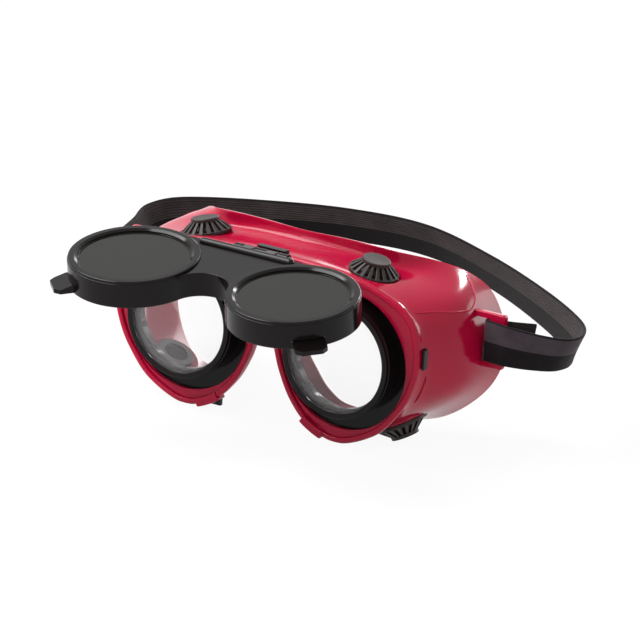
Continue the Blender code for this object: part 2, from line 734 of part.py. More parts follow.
def cup_cutter_profile():
    """What is cut out of a cup, in radius and depth behind its face, from the aperture back."""
    seat_back = CUP_LIP + FILTER_THICKNESS + SEAT_GAP
    bore = CUP_RADIUS - CUP_WALL
    return [
        (CUP_RIM_RADIUS, -OVERRUN),
        (CUP_RIM_RADIUS, 0.0),
        (CUP_SEAT_RADIUS, CUP_CHAMFER),
        (CUP_SEAT_RADIUS, CUP_LIP),
        (CUP_BORE, CUP_LIP),
        (CUP_BORE, seat_back),
        (bore, seat_back),
        (bore, CUP_DEPTH + OVERRUN),
    ]


def cup_rim_profile():
    """Raised front rim of a cup, its outer corner rounded off."""
    back = BRIDGE_DROP + BITE
    outer = CUP_RADIUS - CUP_EDGE_STEP
    return [
        (CUP_SEAT_RADIUS + BITE, CUP_CHAMFER),
        (CUP_RIM_RADIUS + BITE, 0.0),
        (outer - CUP_EDGE_ROUND, 0.0),
        (outer, CUP_EDGE_ROUND),
        (outer, back),
        (CUP_SEAT_RADIUS + BITE, back),
    ]


def hollow_outline():
    """The space behind the bridge, a wall inside the straight top and the nose arch."""
    top = CUP_RADIUS - CUP_WALL
    nose = arch_radius(CUP_RADIUS, CUP_ARCH)
    nose_centre = CUP_ARCH - nose
    nose_wide = nose + CUP_WALL
    reach = math.hypot(LENS_CENTRE, nose_centre)
    start = math.pi - math.asin(top / CUP_RADIUS)
    side = math.atan2(nose_centre, -LENS_CENTRE) + TURN
    turn_cup = math.acos((CUP_RADIUS**2 + reach**2 - nose_wide**2) / (2 * CUP_RADIUS * reach))
    turn_nose = math.acos((nose_wide**2 + reach**2 - CUP_RADIUS**2) / (2 * nose_wide * reach))
    meet = math.atan2(-nose_centre, LENS_CENTRE) + turn_nose
    right = arc((LENS_CENTRE, 0.0), CUP_RADIUS, start, side - turn_cup, SMALL_STEPS)
    half_nose = arc((0.0, nose_centre), nose_wide, meet, math.pi / 2, SMALL_STEPS // 2)
    half = right + half_nose[1:]
    return half + [(-x, z) for x, z in half[-2::-1]]


def arm_outline():
    """One hinge arm in Y and Z, from the skirt's top edge round the pin."""
    face = -STANDOFF
    front = face + BRIDGE_DROP + BRIDGE_THICKNESS
    back = HINGE_BACK + KNUCKLE_RADIUS
    cap = arc((HINGE_BACK, HINGE_RISE), KNUCKLE_RADIUS, 0.0, math.pi, CAP_STEPS)
    low = CUP_RADIUS - CUP_WALL / 2
    return cap + [(front, CUP_RADIUS + KNUCKLE_RADIUS), (front, low), (back, low)]


def pull_place(radius, sign):
    return (sign * radius * math.cos(PULL_ANGLE), radius * math.sin(PULL_ANGLE))


def pull_sector(inner, outer, half_width, sign):
    """A curved strip at the pull tab's angle, as wide as the tab, in X and Z."""
    spread = half_width / outer
    high = PULL_ANGLE + spread
    low = PULL_ANGLE - spread
    far = arc((0.0, 0.0), outer, high, low, CAP_STEPS)
    near = arc((0.0, 0.0), inner, low, high, CAP_STEPS)
    return [(sign * (LENS_CENTRE + x), z) for x, z in far + near]


def pull_shape(name, sign, widths, reaches, tops, backs, parent):
    """A block that runs out from a cup's middle at the pull tab's angle. Each row gives its
    half width, reach, front and back."""
    out = Vector(pull_place(1, sign))
    across = Vector((-out.y, out.x))
    rings = []
    for half, reach, top, back in zip(widths, reaches, tops, backs):
        corners = []
        for side, depth in ((-half, top), (half, top), (half, back), (-half, back)):
            spot = out * reach + across * side
            corners.append((sign * LENS_CENTRE + spot.x, depth, spot.y))
        rings.append(corners)
    return loft(name, rings, parent)


def build_flip_frame(hinge, material):
    seat = empty("closed front", (0.0, -HINGE_BACK, -HINGE_RISE), hinge)
    face = -STANDOFF
    outline = twin_outline(CUP_RADIUS, 0.0, CUP_ARCH)
    frame = prism("flip_frame", outline, face + BRIDGE_DROP, face + CUP_DEPTH, seat, material)
    for side, sign in side_places():
        rim = turned(f"cup rim {side}", cup_rim_profile(), seat)
        rim.location = (sign * LENS_CENTRE, face, 0.0)
        boolean(frame, rim, "UNION")
        inside = round_cutter(f"cup inside {side}", cup_cutter_profile(), seat)
        inside.location = (sign * LENS_CENTRE, face, 0.0)
        boolean(frame, inside, "DIFFERENCE")
    hollow = prism("bridge hollow", hollow_outline(), face + BRIDGE_DROP + BRIDGE_THICKNESS,
                   face + CUP_DEPTH + OVERRUN, seat)
    boolean(frame, hollow, "DIFFERENCE")
    bar = disc("stiffening bar", BAR_RADIUS, -BAR_LENGTH / 2, BAR_LENGTH / 2, seat, steps=SMALL_STEPS)
    bar.data.transform(Matrix.Rotation(math.pi / 2, 4, "Z"))
    bar.location = (0.0, face + BRIDGE_DROP, BAR_RISE)
    boolean(frame, bar, "UNION")
    arm_in, arm_out = knuckle_spans()[:2]
    spans = ((arm_in, arm_out), (-arm_out, -arm_in))
    arms = [slab(f"arm {i}", arm_outline(), *span, seat) for i, span in enumerate(spans)]
    boolean(frame, joined("hinge arms", arms), "UNION")
    boolean(frame, pin_hole("arm hole", PIN_RADIUS + PIN_GAP, 2 * arm_out + OVERRUN, seat), "DIFFERENCE")
    half = PULL_WIDTH / 2 + SEAT_GAP
    reaches = (CUP_RADIUS - 2 * CUP_WALL, CUP_RADIUS + OVERRUN)
    top = face + CUP_DEPTH - PULL_NOTCH_DEPTH
    back = face + CUP_DEPTH + OVERRUN
    cuts = [pull_shape(f"notch {side}", sign, (half, half), reaches, (top, top), (back, back), seat)
            for side, sign in side_places()]
    boolean(frame, joined("pull notches", cuts), "DIFFERENCE")
    return seat


def filter_ring_profile():
    outer = CUP_RADIUS - CUP_WALL - SEAT_GAP
    inner = outer - RING_SLEEVE_WALL
    return [
        (CUP_SEAT_RADIUS, 0.0),
        (outer, 0.0),
        (outer, RING_SLEEVE),
        (inner, RING_SLEEVE),
        (inner, RING_FLANGE),
        (CUP_SEAT_RADIUS, RING_FLANGE),
    ]


def build_filters(seat, glass, material):
    lens_front = -STANDOFF + CUP_LIP + SEAT_GAP
    ring_front = lens_front + FILTER_THICKNESS + SEAT_GAP
    outer = CUP_RADIUS - CUP_WALL - SEAT_GAP
    inner = outer - RING_SLEEVE_WALL
    notch_top = -STANDOFF + CUP_DEPTH - PULL_NOTCH_DEPTH + SEAT_GAP
    back = -STANDOFF + CUP_DEPTH - SEAT_GAP
    half = PULL_WIDTH / 2
    tip = PULL_TIP_WIDTH / 2
    for side, sign in side_places():
        lens = disc(f"filter_lens_{side}", LENS_RADIUS, lens_front, lens_front + FILTER_THICKNESS,
                    seat, glass)
        lens.location.x = sign * LENS_CENTRE
        ring = turned(f"filter_ring_{side}", filter_ring_profile(), seat, material)
        ring.location = (sign * LENS_CENTRE, ring_front, 0.0)
        strip = pull_sector(inner + SEAT_GAP / 2, outer - SEAT_GAP / 2, half, sign)
        tongue = prism(f"tongue {side}", strip, ring_front + RING_SLEEVE / 2, back - BITE, seat)
        boolean(ring, tongue, "UNION")
        end = CUP_RADIUS + PULL_REACH
        rows = (inner + SEAT_GAP / 2, CUP_RADIUS, end - (half - tip), end)
        tops = (notch_top, notch_top, notch_top + PULL_SLOPE, notch_top + PULL_SLOPE)
        widths = (half, half, half, tip)
        tab = pull_shape(f"pull tab {side}", sign, widths, rows, tops, (back,) * len(rows), seat)
        boolean(ring, tab, "UNION")


def build_hinge(parent, steel):
    arm_in, arm_out, washer_in, washer_out, ear_in, ear_out = knuckle_spans()
    half = ear_out + SEAT_GAP
    profile = [
        (PIN_HEAD_RADIUS, -half - PIN_HEAD),
        (PIN_HEAD_RADIUS, -half),
        (PIN_RADIUS, -half),
        (PIN_RADIUS, half),
        (PIN_HEAD_RADIUS, half),
        (PIN_HEAD_RADIUS, half + PIN_HEAD),
    ]
    angles = np.arange(SMALL_STEPS) * TURN / SMALL_STEPS
    rings = [[(x, HINGE_BACK + r * math.cos(a), HINGE_RISE + r * math.sin(a)) for a in angles]
             for r, x in profile]
    loft("hinge_pin", rings, parent, steel)
    for side, sign in side_places():
        inner = PIN_RADIUS + PIN_GAP
        xs = sorted((sign * washer_in, sign * washer_out))
        washer = turned(f"hinge_washer_{side}", band_profile(inner, KNUCKLE_RADIUS, *xs), parent,
                        steel, steps=SMALL_STEPS)
        washer.data.transform(Matrix.Rotation(-math.pi / 2, 4, "Z"))
        washer.location = (0.0, HINGE_BACK, HINGE_RISE)


# Vents

def cowl_profile():
    """Hollow cone from the stem's inner end up to the cap, in radius and height."""
    stem_end = -BOSS_DEPTH - SEAT_GAP
    shoulder = VENT_HEIGHT - VENT_CAP_THICKNESS
    inside = VENT_BASE_RADIUS - VENT_WALL
    bore = VENT_STEM_RADIUS - VENT_STEM_WALL
    return [
        (bore, stem_end),
        (VENT_STEM_RADIUS, stem_end),
        (VENT_STEM_RADIUS, 0.0),
        (VENT_BASE_RADIUS, 0.0),
        (VENT_BASE_RADIUS, VENT_BASE_BAND),
        (VENT_NECK_RADIUS, shoulder),
        (VENT_CAP_RADIUS, shoulder),
        (VENT_CAP_RADIUS, VENT_HEIGHT),
        (0.0, VENT_HEIGHT),
        (0.0, shoulder - VENT_WALL / 2),
        (VENT_NECK_RADIUS - VENT_WALL, shoulder - VENT_WALL / 2),
        (inside, VENT_BASE_BAND),
        (bore, VENT_BASE_BAND),
    ]


def turned_to_axis(name, profile, parent, material, steps):
    """A profile whose ends reach the axis, turned about Y."""
    angles = np.arange(steps) * TURN / steps
    open_rows = [i for i, (r, _) in enumerate(profile) if r > 0.0]
    poles = [i for i, (r, _) in enumerate(profile) if r == 0.0]
    start = poles[-1] + 1
    order = [i % len(profile) for i in range(start, start + len(profile)) if i % len(profile) in open_rows]
    rings = [[(profile[i][0] * math.cos(a), profile[i][1], profile[i][0] * math.sin(a)) for a in angles]
             for i in order]
    points = [p for ring in rings for p in ring]
    faces = loft_faces(len(rings), steps)
    for pole, row in ((poles[-1], 0), (poles[0], len(rings) - 1)):
        centre = len(points)
        points.append((0.0, profile[pole][1], 0.0))
        for i in range(steps):
            faces.append((row * steps + i, row * steps + (i + 1) % steps, centre))
    return solid(name, points, faces, parent, material)


def vent_slots(name, parent):
    """Cutters for the slots between the cone's ribs."""
    low = VENT_BASE_BAND + VENT_SLOT_WIDTH / 2
    high = VENT_HEIGHT - VENT_CAP_THICKNESS - VENT_SLOT_WIDTH / 2
    near = VENT_NECK_RADIUS - VENT_WALL - BITE
    far = VENT_BASE_RADIUS + OVERRUN
    items = []
    for i in range(VENT_SLOTS):
        corners = ((near, low, -VENT_SLOT_WIDTH / 2), (far, high, VENT_SLOT_WIDTH / 2))
        item = box(f"{name} {i}", *corners, parent)
        item.data.transform(Matrix.Rotation(i * TURN / VENT_SLOTS, 4, "Y"))
        items.append(item)
    return joined(name, items)


def build_vents(parent, black):
    bore = VENT_STEM_RADIUS - VENT_STEM_WALL
    collar_bore = VENT_STEM_RADIUS + SEAT_GAP
    collar_back = -BOSS_DEPTH - 2 * SEAT_GAP
    collar_front = collar_back - COLLAR_THICKNESS
    for label, spot, way in vent_places():
        cowl = turned_to_axis(f"vent_cowl_{label}", cowl_profile(), parent, black, VENT_SLOTS)
        aimed(cowl, spot, way)
        slots = aimed(vent_slots(f"slots {label}", parent), spot, way)
        boolean(cowl, slots, "DIFFERENCE")
        profile = band_profile(bore, collar_bore + COLLAR_RIM, collar_front, collar_back)
        collar = turned(f"vent_collar_{label}", profile, parent, black, steps=SMALL_STEPS)
        aimed(collar, spot, way)


# Headband

def band_controls():
    """Middle line and lean of the headband between the two lugs."""
    rows = np.array(BAND_SHARES)
    out, back, rise = rows[:, :3].T
    tip = lug_bar()[1] - BAND_TUCK
    beyond = np.clip((np.abs(out) - out[0]) / (1 - out[0]), 0.0, None)
    top = np.column_stack([
        np.clip(out / out[0], -1.0, 1.0) * tip + np.sign(out) * beyond * BAND_BULGE,
        LUG_BACK - BAND_LEAD + (back - back[0]) * BAND_REACH,
        LUG_RISE + BAND_WIDTH / 2 + (rise - rise[0]) * BAND_WIDTH,
    ])
    lean = np.column_stack([rows[:, 3:], np.sqrt(1 - (rows[:, 3:] ** 2).sum(axis=1))])
    return top - lean * BAND_WIDTH / 2, lean


def lug_fold(sign):
    """Tail of the band behind one lug bar and its fold through the slit, the tail's end first."""
    nose = LUG_THICKNESS / 2
    radius = nose + SEAT_GAP + BAND_THICKNESS / 2
    centre = (lug_bar()[0] + nose, LUG_BACK)
    tail = [(centre[0] + x * BAND_TAIL, LUG_BACK + radius + y * BAND_TAIL, LUG_RISE + z * BAND_TAIL)
            for x, y, z in TAIL_SHARES[::-1]]
    fold = arc(centre, radius, math.pi / 2, 3 * math.pi / 2, FOLD_STEPS)
    return [(sign * x, y, z) for x, y, z in tail + [(x, y, LUG_RISE) for x, y in fold]]


def open_curve(points, steps):
    """A Catmull-Rom curve through an open run of points."""
    padded = np.concatenate([2 * points[:1] - points[1:2], points, 2 * points[-1:] - points[-2:-1]])
    parts = []
    for i in range(len(points) - 1):
        a, b, c, d = padded[i:i + 4]
        parts += [spline_point(a, b, c, d, t) for t in np.arange(steps) / steps]
    return np.array(parts + [points[-1]])


def band_path():
    middle, lean = band_controls()
    right = np.array(lug_fold(1))
    left = np.array(lug_fold(-1))[::-1]
    upright = np.tile([0.0, 0.0, 1.0], (len(right), 1))
    points = np.concatenate([right, middle, left])
    leans = np.concatenate([upright, lean, upright])
    path = open_curve(points, BAND_STEPS)
    lean_path = open_curve(leans, BAND_STEPS)
    return path, lean_path


def build_headband(parent, fabric):
    path, lean = band_path()
    along = np.gradient(path, axis=0)
    along /= np.linalg.norm(along, axis=1)[:, None]
    lean = lean - (lean * along).sum(axis=1)[:, None] * along
    lean /= np.linalg.norm(lean, axis=1)[:, None]
    across = np.cross(along, lean)
    half_width = lean * BAND_WIDTH / 2
    half_thick = across * BAND_THICKNESS / 2
    corners = [path + half_width + half_thick, path + half_width - half_thick,
               path - half_width - half_thick, path - half_width + half_thick]
    rings = [[corner[i] for corner in corners] for i in range(len(path))]
    length = np.linalg.norm(np.diff(path, axis=0), axis=1).sum()
    print(f"headband length {length / MM:.0f} mm")
    return loft("headband", rings, parent, fabric)


def stand_on_base(root):
    """Puts the origin under the middle of the whole object, on the plane it stands on."""
    bpy.context.view_layer.update()
    graph = bpy.context.evaluated_depsgraph_get()
    corners = []
    for item in bpy.context.scene.objects:
        if item.type == "MESH" and not item.hide_render:
            mesh = item.evaluated_get(graph).to_mesh()
            corners += [item.matrix_world @ vert.co for vert in mesh.vertices]
    places = np.array(corners)
    middle = (places.min(axis=0) + places.max(axis=0)) / 2
    root.location = (-middle[0], -middle[1], BASE_DROP)


def main():
    clear_scene()
    red = plastic("crimson soft vinyl", (0.36, 0.008, 0.03), 0.25)
    black = plastic("black moulded plastic", (0.012, 0.012, 0.012), 0.35)
    vent_black = plastic("matt black plastic", (0.02, 0.016, 0.015), 0.6)
    rubber = plastic("gasket rubber", (0.02, 0.02, 0.02), 0.7)
    steel = plastic("bright steel", (0.5, 0.5, 0.5), 0.3, metallic=1.0)
    clear = plastic("clear lens glass", (0.9, 0.92, 0.92), 0.02, alpha=0.25)
    shade = plastic("dark filter glass", (0.05, 0.055, 0.05), 0.05)
    fabric = plastic("elastic webbing", (0.03, 0.027, 0.028), 0.9)
    root = empty("goggles", (0.0, 0.0, 0.0))
    build_body(root, red)
    build_lens_frame(root, black)
    build_clear_lenses(root, clear, rubber, black)
    hinge = empty("flip hinge", (0.0, HINGE_BACK, HINGE_RISE), root)
    hinge.rotation_euler.x = -OPEN_ANGLE
    seat = build_flip_frame(hinge, black)
    build_filters(seat, shade, black)
    build_hinge(root, steel)
    build_vents(root, vent_black)
    build_headband(root, fabric)
    stand_on_base(root)


main()
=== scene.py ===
"""Flip-up welding goggles, dressed for the camera.

Every piece is a surface worked out with numpy in the goggles' own layout, which has zero halfway
between the two lens tubes' front faces, X to the right as seen from the front, Y to the back and Z
up. A piece is then put in its place in the frame. The front frame is laid out closed, over the
tubes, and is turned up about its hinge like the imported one.
"""

import json
import logging
import math
from dataclasses import dataclass, field
from enum import Enum
from typing import Any, Iterable, Sequence

import bmesh
import bpy
import numpy as np
from mathutils import Matrix, Vector

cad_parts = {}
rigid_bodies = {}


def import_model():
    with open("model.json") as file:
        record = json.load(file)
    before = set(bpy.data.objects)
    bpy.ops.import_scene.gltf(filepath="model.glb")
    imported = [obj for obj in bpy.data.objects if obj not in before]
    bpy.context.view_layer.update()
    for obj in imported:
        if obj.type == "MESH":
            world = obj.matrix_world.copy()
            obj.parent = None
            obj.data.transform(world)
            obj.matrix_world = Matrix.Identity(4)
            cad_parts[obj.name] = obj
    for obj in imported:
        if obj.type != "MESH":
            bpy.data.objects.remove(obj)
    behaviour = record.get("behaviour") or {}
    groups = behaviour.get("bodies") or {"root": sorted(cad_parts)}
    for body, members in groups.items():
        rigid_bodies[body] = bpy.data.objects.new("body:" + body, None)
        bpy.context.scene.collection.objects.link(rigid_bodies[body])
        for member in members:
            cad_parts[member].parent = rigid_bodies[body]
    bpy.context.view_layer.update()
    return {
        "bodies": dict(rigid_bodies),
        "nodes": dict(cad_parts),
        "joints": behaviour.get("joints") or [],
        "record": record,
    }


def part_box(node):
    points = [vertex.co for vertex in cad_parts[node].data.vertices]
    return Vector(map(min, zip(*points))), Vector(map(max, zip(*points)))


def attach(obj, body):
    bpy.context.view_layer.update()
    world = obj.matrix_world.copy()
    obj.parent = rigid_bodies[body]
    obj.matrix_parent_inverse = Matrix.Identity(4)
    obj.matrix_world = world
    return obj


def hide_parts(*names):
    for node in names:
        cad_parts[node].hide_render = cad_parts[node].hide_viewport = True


Array = np.ndarray
Colour = tuple[float, float, float]

LOG = logging.getLogger("goggles")
MM = 0.001
TURN = 2 * math.pi
SEAT_GAP = 0.3 * MM
OVERRUN = 3.0 * MM
BITE = 0.8 * MM
ROUND_STEPS = 144
SMALL_STEPS = 64
CORNER_STEPS = 8
CORNER_SHARE = 0.4
SHARP_ANGLE = math.radians(32)
HINGE_BACK = 1.5 * MM
HINGE_RISE = 39.0 * MM
RIM_HALF_WIDTH = 79.4 * MM

# Half outlines of the soft body from the top centre, down the side and back to the nose, as
# shares of half width, half height and depth
RIM_SHARES = (
    (0.0, 0.980, 1.0), (0.280, 0.970, 1.0), (0.530, 0.935, 1.0), (0.730, 0.835, 1.0),
    (0.893, 0.680, 1.0), (0.975, 0.460, 1.0), (1.0, 0.070, 1.0), (0.957, -0.275, 1.0),
    (0.872, -0.565, 1.0), (0.740, -0.835, 1.0), (0.516, -1.017, 1.0), (0.318, -0.905, 1.0),
    (0.189, -0.660, 1.0), (0.105, -0.350, 1.0), (0.052, -0.040, 1.0), (0.0, 0.120, 1.0),
)
WAIST_SHARES = (
    (0.0, 0.968, 1.0), (0.280, 0.955, 1.0), (0.540, 0.905, 1.0), (0.741, 0.805, 1.0),
    (0.900, 0.645, 1.05), (0.988, 0.440, 1.2), (1.015, 0.070, 1.2), (0.977, -0.275, 1.2),
    (0.884, -0.548, 1.1), (0.748, -0.795, 1.0), (0.516, -0.965, 1.0), (0.315, -0.865, 1.0),
    (0.189, -0.625, 1.0), (0.108, -0.325, 1.0), (0.058, -0.035, 1.0), (0.0, 0.130, 1.0),
)
CREASE_SHARES = (
    (0.0, 0.950, 0.870), (0.290, 0.925, 0.930), (0.573, 0.860, 1.015), (0.781, 0.815, 1.095),
    (0.966, 0.690, 1.15), (1.056, 0.470, 1.12), (1.096, 0.080, 1.12), (1.077, -0.275, 1.08),
    (0.970, -0.550, 1.0), (0.785, -0.780, 0.91), (0.535, -0.890, 0.83), (0.355, -0.805, 0.70),
    (0.245, -0.600, 0.58), (0.171, -0.300, 0.50), (0.100, 0.0, 0.46), (0.0, 0.150, 0.44),
)
SEAL_SHARES = (
    (0.0, 1.075, 0.500), (0.261, 1.075, 0.521), (0.523, 1.038, 0.571), (0.682, 0.918, 0.771),
    (0.800, 0.770, 0.920), (0.909, 0.560, 0.986), (0.989, 0.130, 1.0), (0.983, -0.300, 0.970),
    (0.903, -0.625, 0.879), (0.750, -0.863, 0.743), (0.523, -0.913, 0.600), (0.364, -0.825, 0.471),
    (0.273, -0.600, 0.371), (0.205, -0.300, 0.307), (0.114, 0.0, 0.279), (0.0, 0.175, 0.271),
)

# Top edge of the headband from the right lug round to the left one, as shares of span, reach and
# width, and how the band leans to X and to Y there
BAND_SHARES = (
    (0.790, 0.3110, 0.947, 0.04, -0.03), (0.835, 0.3135, 0.921, 0.14, -0.06),
    (0.919, 0.3570, 0.789, 0.30, -0.12), (0.995, 0.4200, 0.679, 0.40, -0.16),
    (1.000, 0.5030, 0.663, 0.42, -0.16), (0.906, 0.6120, 0.689, 0.28, -0.14),
    (0.663, 0.7670, 0.747, 0.12, -0.20), (0.338, 0.9100, 0.879, 0.03, -0.30),
    (0.009, 0.9850, 1.053, 0.0, -0.38), (-0.318, 0.9720, 1.032, 0.0, -0.38),
    (-0.651, 0.8860, 0.942, -0.06, -0.32), (-0.905, 0.7750, 0.847, -0.20, -0.24),
    (-0.980, 0.6600, 0.780, -0.34, -0.17), (-0.945, 0.5400, 0.710, -0.40, -0.16),
    (-0.910, 0.4300, 0.700, -0.38, -0.16), (-0.874, 0.3600, 0.789, -0.28, -0.12),
    (-0.835, 0.3135, 0.921, -0.14, -0.06), (-0.790, 0.3110, 0.947, -0.04, -0.03),
)
TAIL_SHARES = ((0.30, 0.02, -0.02), (0.65, 0.25, -0.06), (1.0, 0.68, -0.14))

# Places on the right side wall, in millimetres: a raised seam, and a fold behind the rim
SEAM_PLACES = (
    (72.3, 13.8, 25.2), (75.9, 22.8, 24.4), (79.8, 31.5, 23.1), (82.5, 41.7, 21.7), (81.9, 48.0, 22.4),
    (79.2, 53.3, 25.4), (74.8, 57.4, 28.6), (71.3, 59.0, 30.5), (70.1, 59.3, 31.1),
)
FOLD_PLACES = ((79.7, 13.9, -2.0), (77.9, 14.0, -8.9), (74.6, 14.0, -15.8))


class Body(Enum):
    """The rigid groups that a piece can ride on."""

    GOGGLES = "goggles"
    FRONT = "flip_front"


class Cut(Enum):
    """What a tool does to the piece it meets."""

    ADD = "UNION"
    REMOVE = "DIFFERENCE"


class Side(Enum):
    """The two sides of the goggles, as seen from the front."""

    LEFT = -1
    RIGHT = 1

    @property
    def label(self) -> str:
        """Lower-case name of the side, as the nodes spell it."""
        return self.name.lower()

    @property
    def mirror(self) -> Matrix:
        """What carries a piece of the right side to this one."""
        return Matrix.Diagonal((self.value, 1.0, 1.0, 1.0))


# Surfaces


@dataclass
class Surface:
    """Points and faces of a mesh, and an optional vector for each point."""

    points: Array
    quads: Array
    caps: list[list[int]] = field(default_factory=list)
    weave: Array | None = None

    @classmethod
    def grid(cls, rows: Array, closed: bool = False) -> "Surface":
        """Joins rings of points into a skin.

        Point i of one ring is joined to point i of the next, and the last point of a ring to its
        first. A skin that isn't closed gets a flat face over its first and its last ring.

        Args:
            rows: Rings of points, with shape (rings, points, 3).
            closed: Whether the last ring joins the first.

        Returns:
            The skin.
        """
        count, around = rows.shape[:2]
        ring = np.arange(count if closed else count - 1)[:, None]
        spot = np.arange(around)[None, :]
        after = (ring + 1) % count
        beside = (spot + 1) % around
        corners = [ring * around + spot, ring * around + beside, after * around + beside,
                   after * around + spot]
        quads = np.stack(corners, axis=-1).reshape(-1, 4)
        ends = [] if closed else [list(range(around)),
                                  list(range((count - 1) * around, count * around))]
        return cls(rows.reshape(-1, 3), quads, ends)

    def moved(self, matrix: Matrix) -> "Surface":
        """The surface carried by a matrix.

        Args:
            matrix: A 4 by 4 matrix.

        Returns:
            A new surface.
        """
        table = np.array(matrix)
        points = self.points @ table[:3, :3].T + table[:3, 3]
        return Surface(points, self.quads, self.caps, self.weave)

    @classmethod
    def joined(cls, parts: Sequence["Surface"]) -> "Surface":
        """Several surfaces that don't touch, as one.

        Args:
            parts: The surfaces.

        Returns:
            Their points and faces in one surface.
        """
        sizes = [len(part.points) for part in parts]
        starts = np.concatenate([[0], np.cumsum(sizes)[:-1]]).astype(int)
        quads = np.concatenate([part.quads + start for part, start in zip(parts, starts)])
        caps = [[int(start) + i for i in cap] for part, start in zip(parts, starts) for cap in part.caps]
        return cls(np.concatenate([part.points for part in parts]), quads, caps)


def catmull(a: Array, b: Array, c: Array, d: Array, t: Array) -> Array:
    """A Catmull-Rom curve: the cubic from b to c whose slopes are half of a to c and of b to d.

    Args:
        a: Points before b.
        b: Where each stretch starts.
        c: Where each stretch ends.
        d: Points after c.
        t: Share of each stretch, from 0 to 1.

    Returns:
        Points on the curve.
    """
    bend = 2 * a - 5 * b + 4 * c - d
    twist = 3 * (b - c) + d - a
    return (2 * b + (c - a) * t + bend * t**2 + twist * t**3) / 2


def closed_curve(points: Array, steps: int) -> Array:
    """A smooth closed curve through points, the same number of steps in each stretch.

    Args:
        points: Corner points, with shape (points, values).
        steps: Steps in each stretch.

    Returns:
        Points with shape (points * steps, values).
    """
    t = (np.arange(steps) / steps)[None, :, None]
    near = [np.roll(points, shift, axis=0)[:, None] for shift in (1, 0, -1, -2)]
    return catmull(*near, t).reshape(-1, points.shape[1])


def open_curve(points: Array, steps: int) -> Array:
    """A smooth open curve through points, run on straight past both ends.

    Args:
        points: Corner points, with shape (points, values).
        steps: Steps in each stretch.

    Returns:
        Points with shape ((points - 1) * steps + 1, values).
    """
    padded = np.concatenate([2 * points[:1] - points[1:2], points, 2 * points[-1:] - points[-2:-1]])
    t = (np.arange(steps) / steps)[None, :, None]
    near = [padded[i:len(padded) - 3 + i][:, None] for i in range(4)]
    curve = catmull(*near, t).reshape(-1, points.shape[1])
    return np.concatenate([curve, points[-1:]])


def rounded(profile: Array, radius: float, steps: int = 4) -> Array:
    """A closed outline with each corner turned into a quadratic curve.

    The curve leaves each side at the radius from the corner, or at CORNER_SHARE of a short side.

    Args:
        profile: Corners, with shape (corners, 2).
        radius: How far from a corner its curve starts.
        steps: Points in each curve.

    Returns:
        Points with shape (corners * steps, 2).
    """
    t = np.linspace(0.0, 1.0, steps)[None, :, None]
    ends = []
    for shift in (1, -1):
        way = np.roll(profile, shift, axis=0) - profile
        length = np.linalg.norm(way, axis=1)[:, None]
        ends.append((profile + way / length * np.minimum(radius, CORNER_SHARE * length))[:, None])
    start, end = ends
    curve = (1 - t) ** 2 * start + 2 * t * (1 - t) * profile[:, None] + t**2 * end
    return curve.reshape(-1, 2)


def arc(centre: tuple[float, float], radius: float, start: float, end: float, steps: int) -> Array:
    """Points of a circle's arc: the centre plus the radius times cosine and sine of the angle.

    Args:
        centre: The circle's centre.
        radius: Its radius.
        start: First angle, in radians.
        end: Last angle, in radians.
        steps: Number of points.

    Returns:
        Points with shape (steps, 2).
    """
    angles = np.linspace(start, end, steps)
    return np.column_stack([centre[0] + radius * np.cos(angles), centre[1] + radius * np.sin(angles)])


def inwards(outline: Array) -> Array:
    """Unit normals of a closed outline, square to the line between each point's neighbours.

    Args:
        outline: Points with shape (points, 2), run round clockwise.

    Returns:
        Normals with shape (points, 2).
    """
    along = np.roll(outline, -1, axis=0) - np.roll(outline, 1, axis=0)
    across = np.stack([along[:, 1], -along[:, 0]], axis=1)
    return across / np.linalg.norm(across, axis=1)[:, None]


def turned(profile: Array, steps: int = ROUND_STEPS) -> Surface:
    """A closed profile of radius and depth turned about Y.

    Each point is (r cos a, depth, r sin a) for the angles a of a full turn.

    Args:
        profile: Radius and depth, with shape (points, 2).
        steps: Steps in a turn.

    Returns:
        A closed ring.
    """
    angles = np.arange(steps) * TURN / steps
    radius, depth = profile[:, :1], profile[:, 1:]
    rows = np.stack([radius * np.cos(angles), depth + 0 * angles, radius * np.sin(angles)], axis=-1)
    return Surface.grid(rows, closed=True)


def spindle(profile: Array, steps: int = ROUND_STEPS) -> Surface:
    """A run of radius and depth turned about Y, with a flat disc at each end.

    Args:
        profile: Radius and depth, with shape (points, 2).
        steps: Steps in a turn.

    Returns:
        A solid of revolution.
    """
    skin = turned(profile, steps)
    rows = skin.points.reshape(len(profile), steps, 3)
    return Surface.grid(rows)


def rod(radius: float, low: float, high: float, steps: int = SMALL_STEPS) -> Surface:
    """A round rod along Y, from one depth to another."""
    return spindle(np.array([(radius, low), (radius, high)]), steps)


def disc(radius: float, low: float, high: float, edge: float) -> Surface:
    """A round disc about Y with slanted edges, from one depth to another."""
    return spindle(np.array([(radius - edge, low), (radius, low + edge), (radius, high - edge),
                             (radius - edge, high)]))


def oblong(inner: float, outer: float, low: float, high: float) -> Array:
    """Four corners of a rectangular profile of radius and depth."""
    return np.array([(inner, low), (outer, low), (outer, high), (inner, high)])


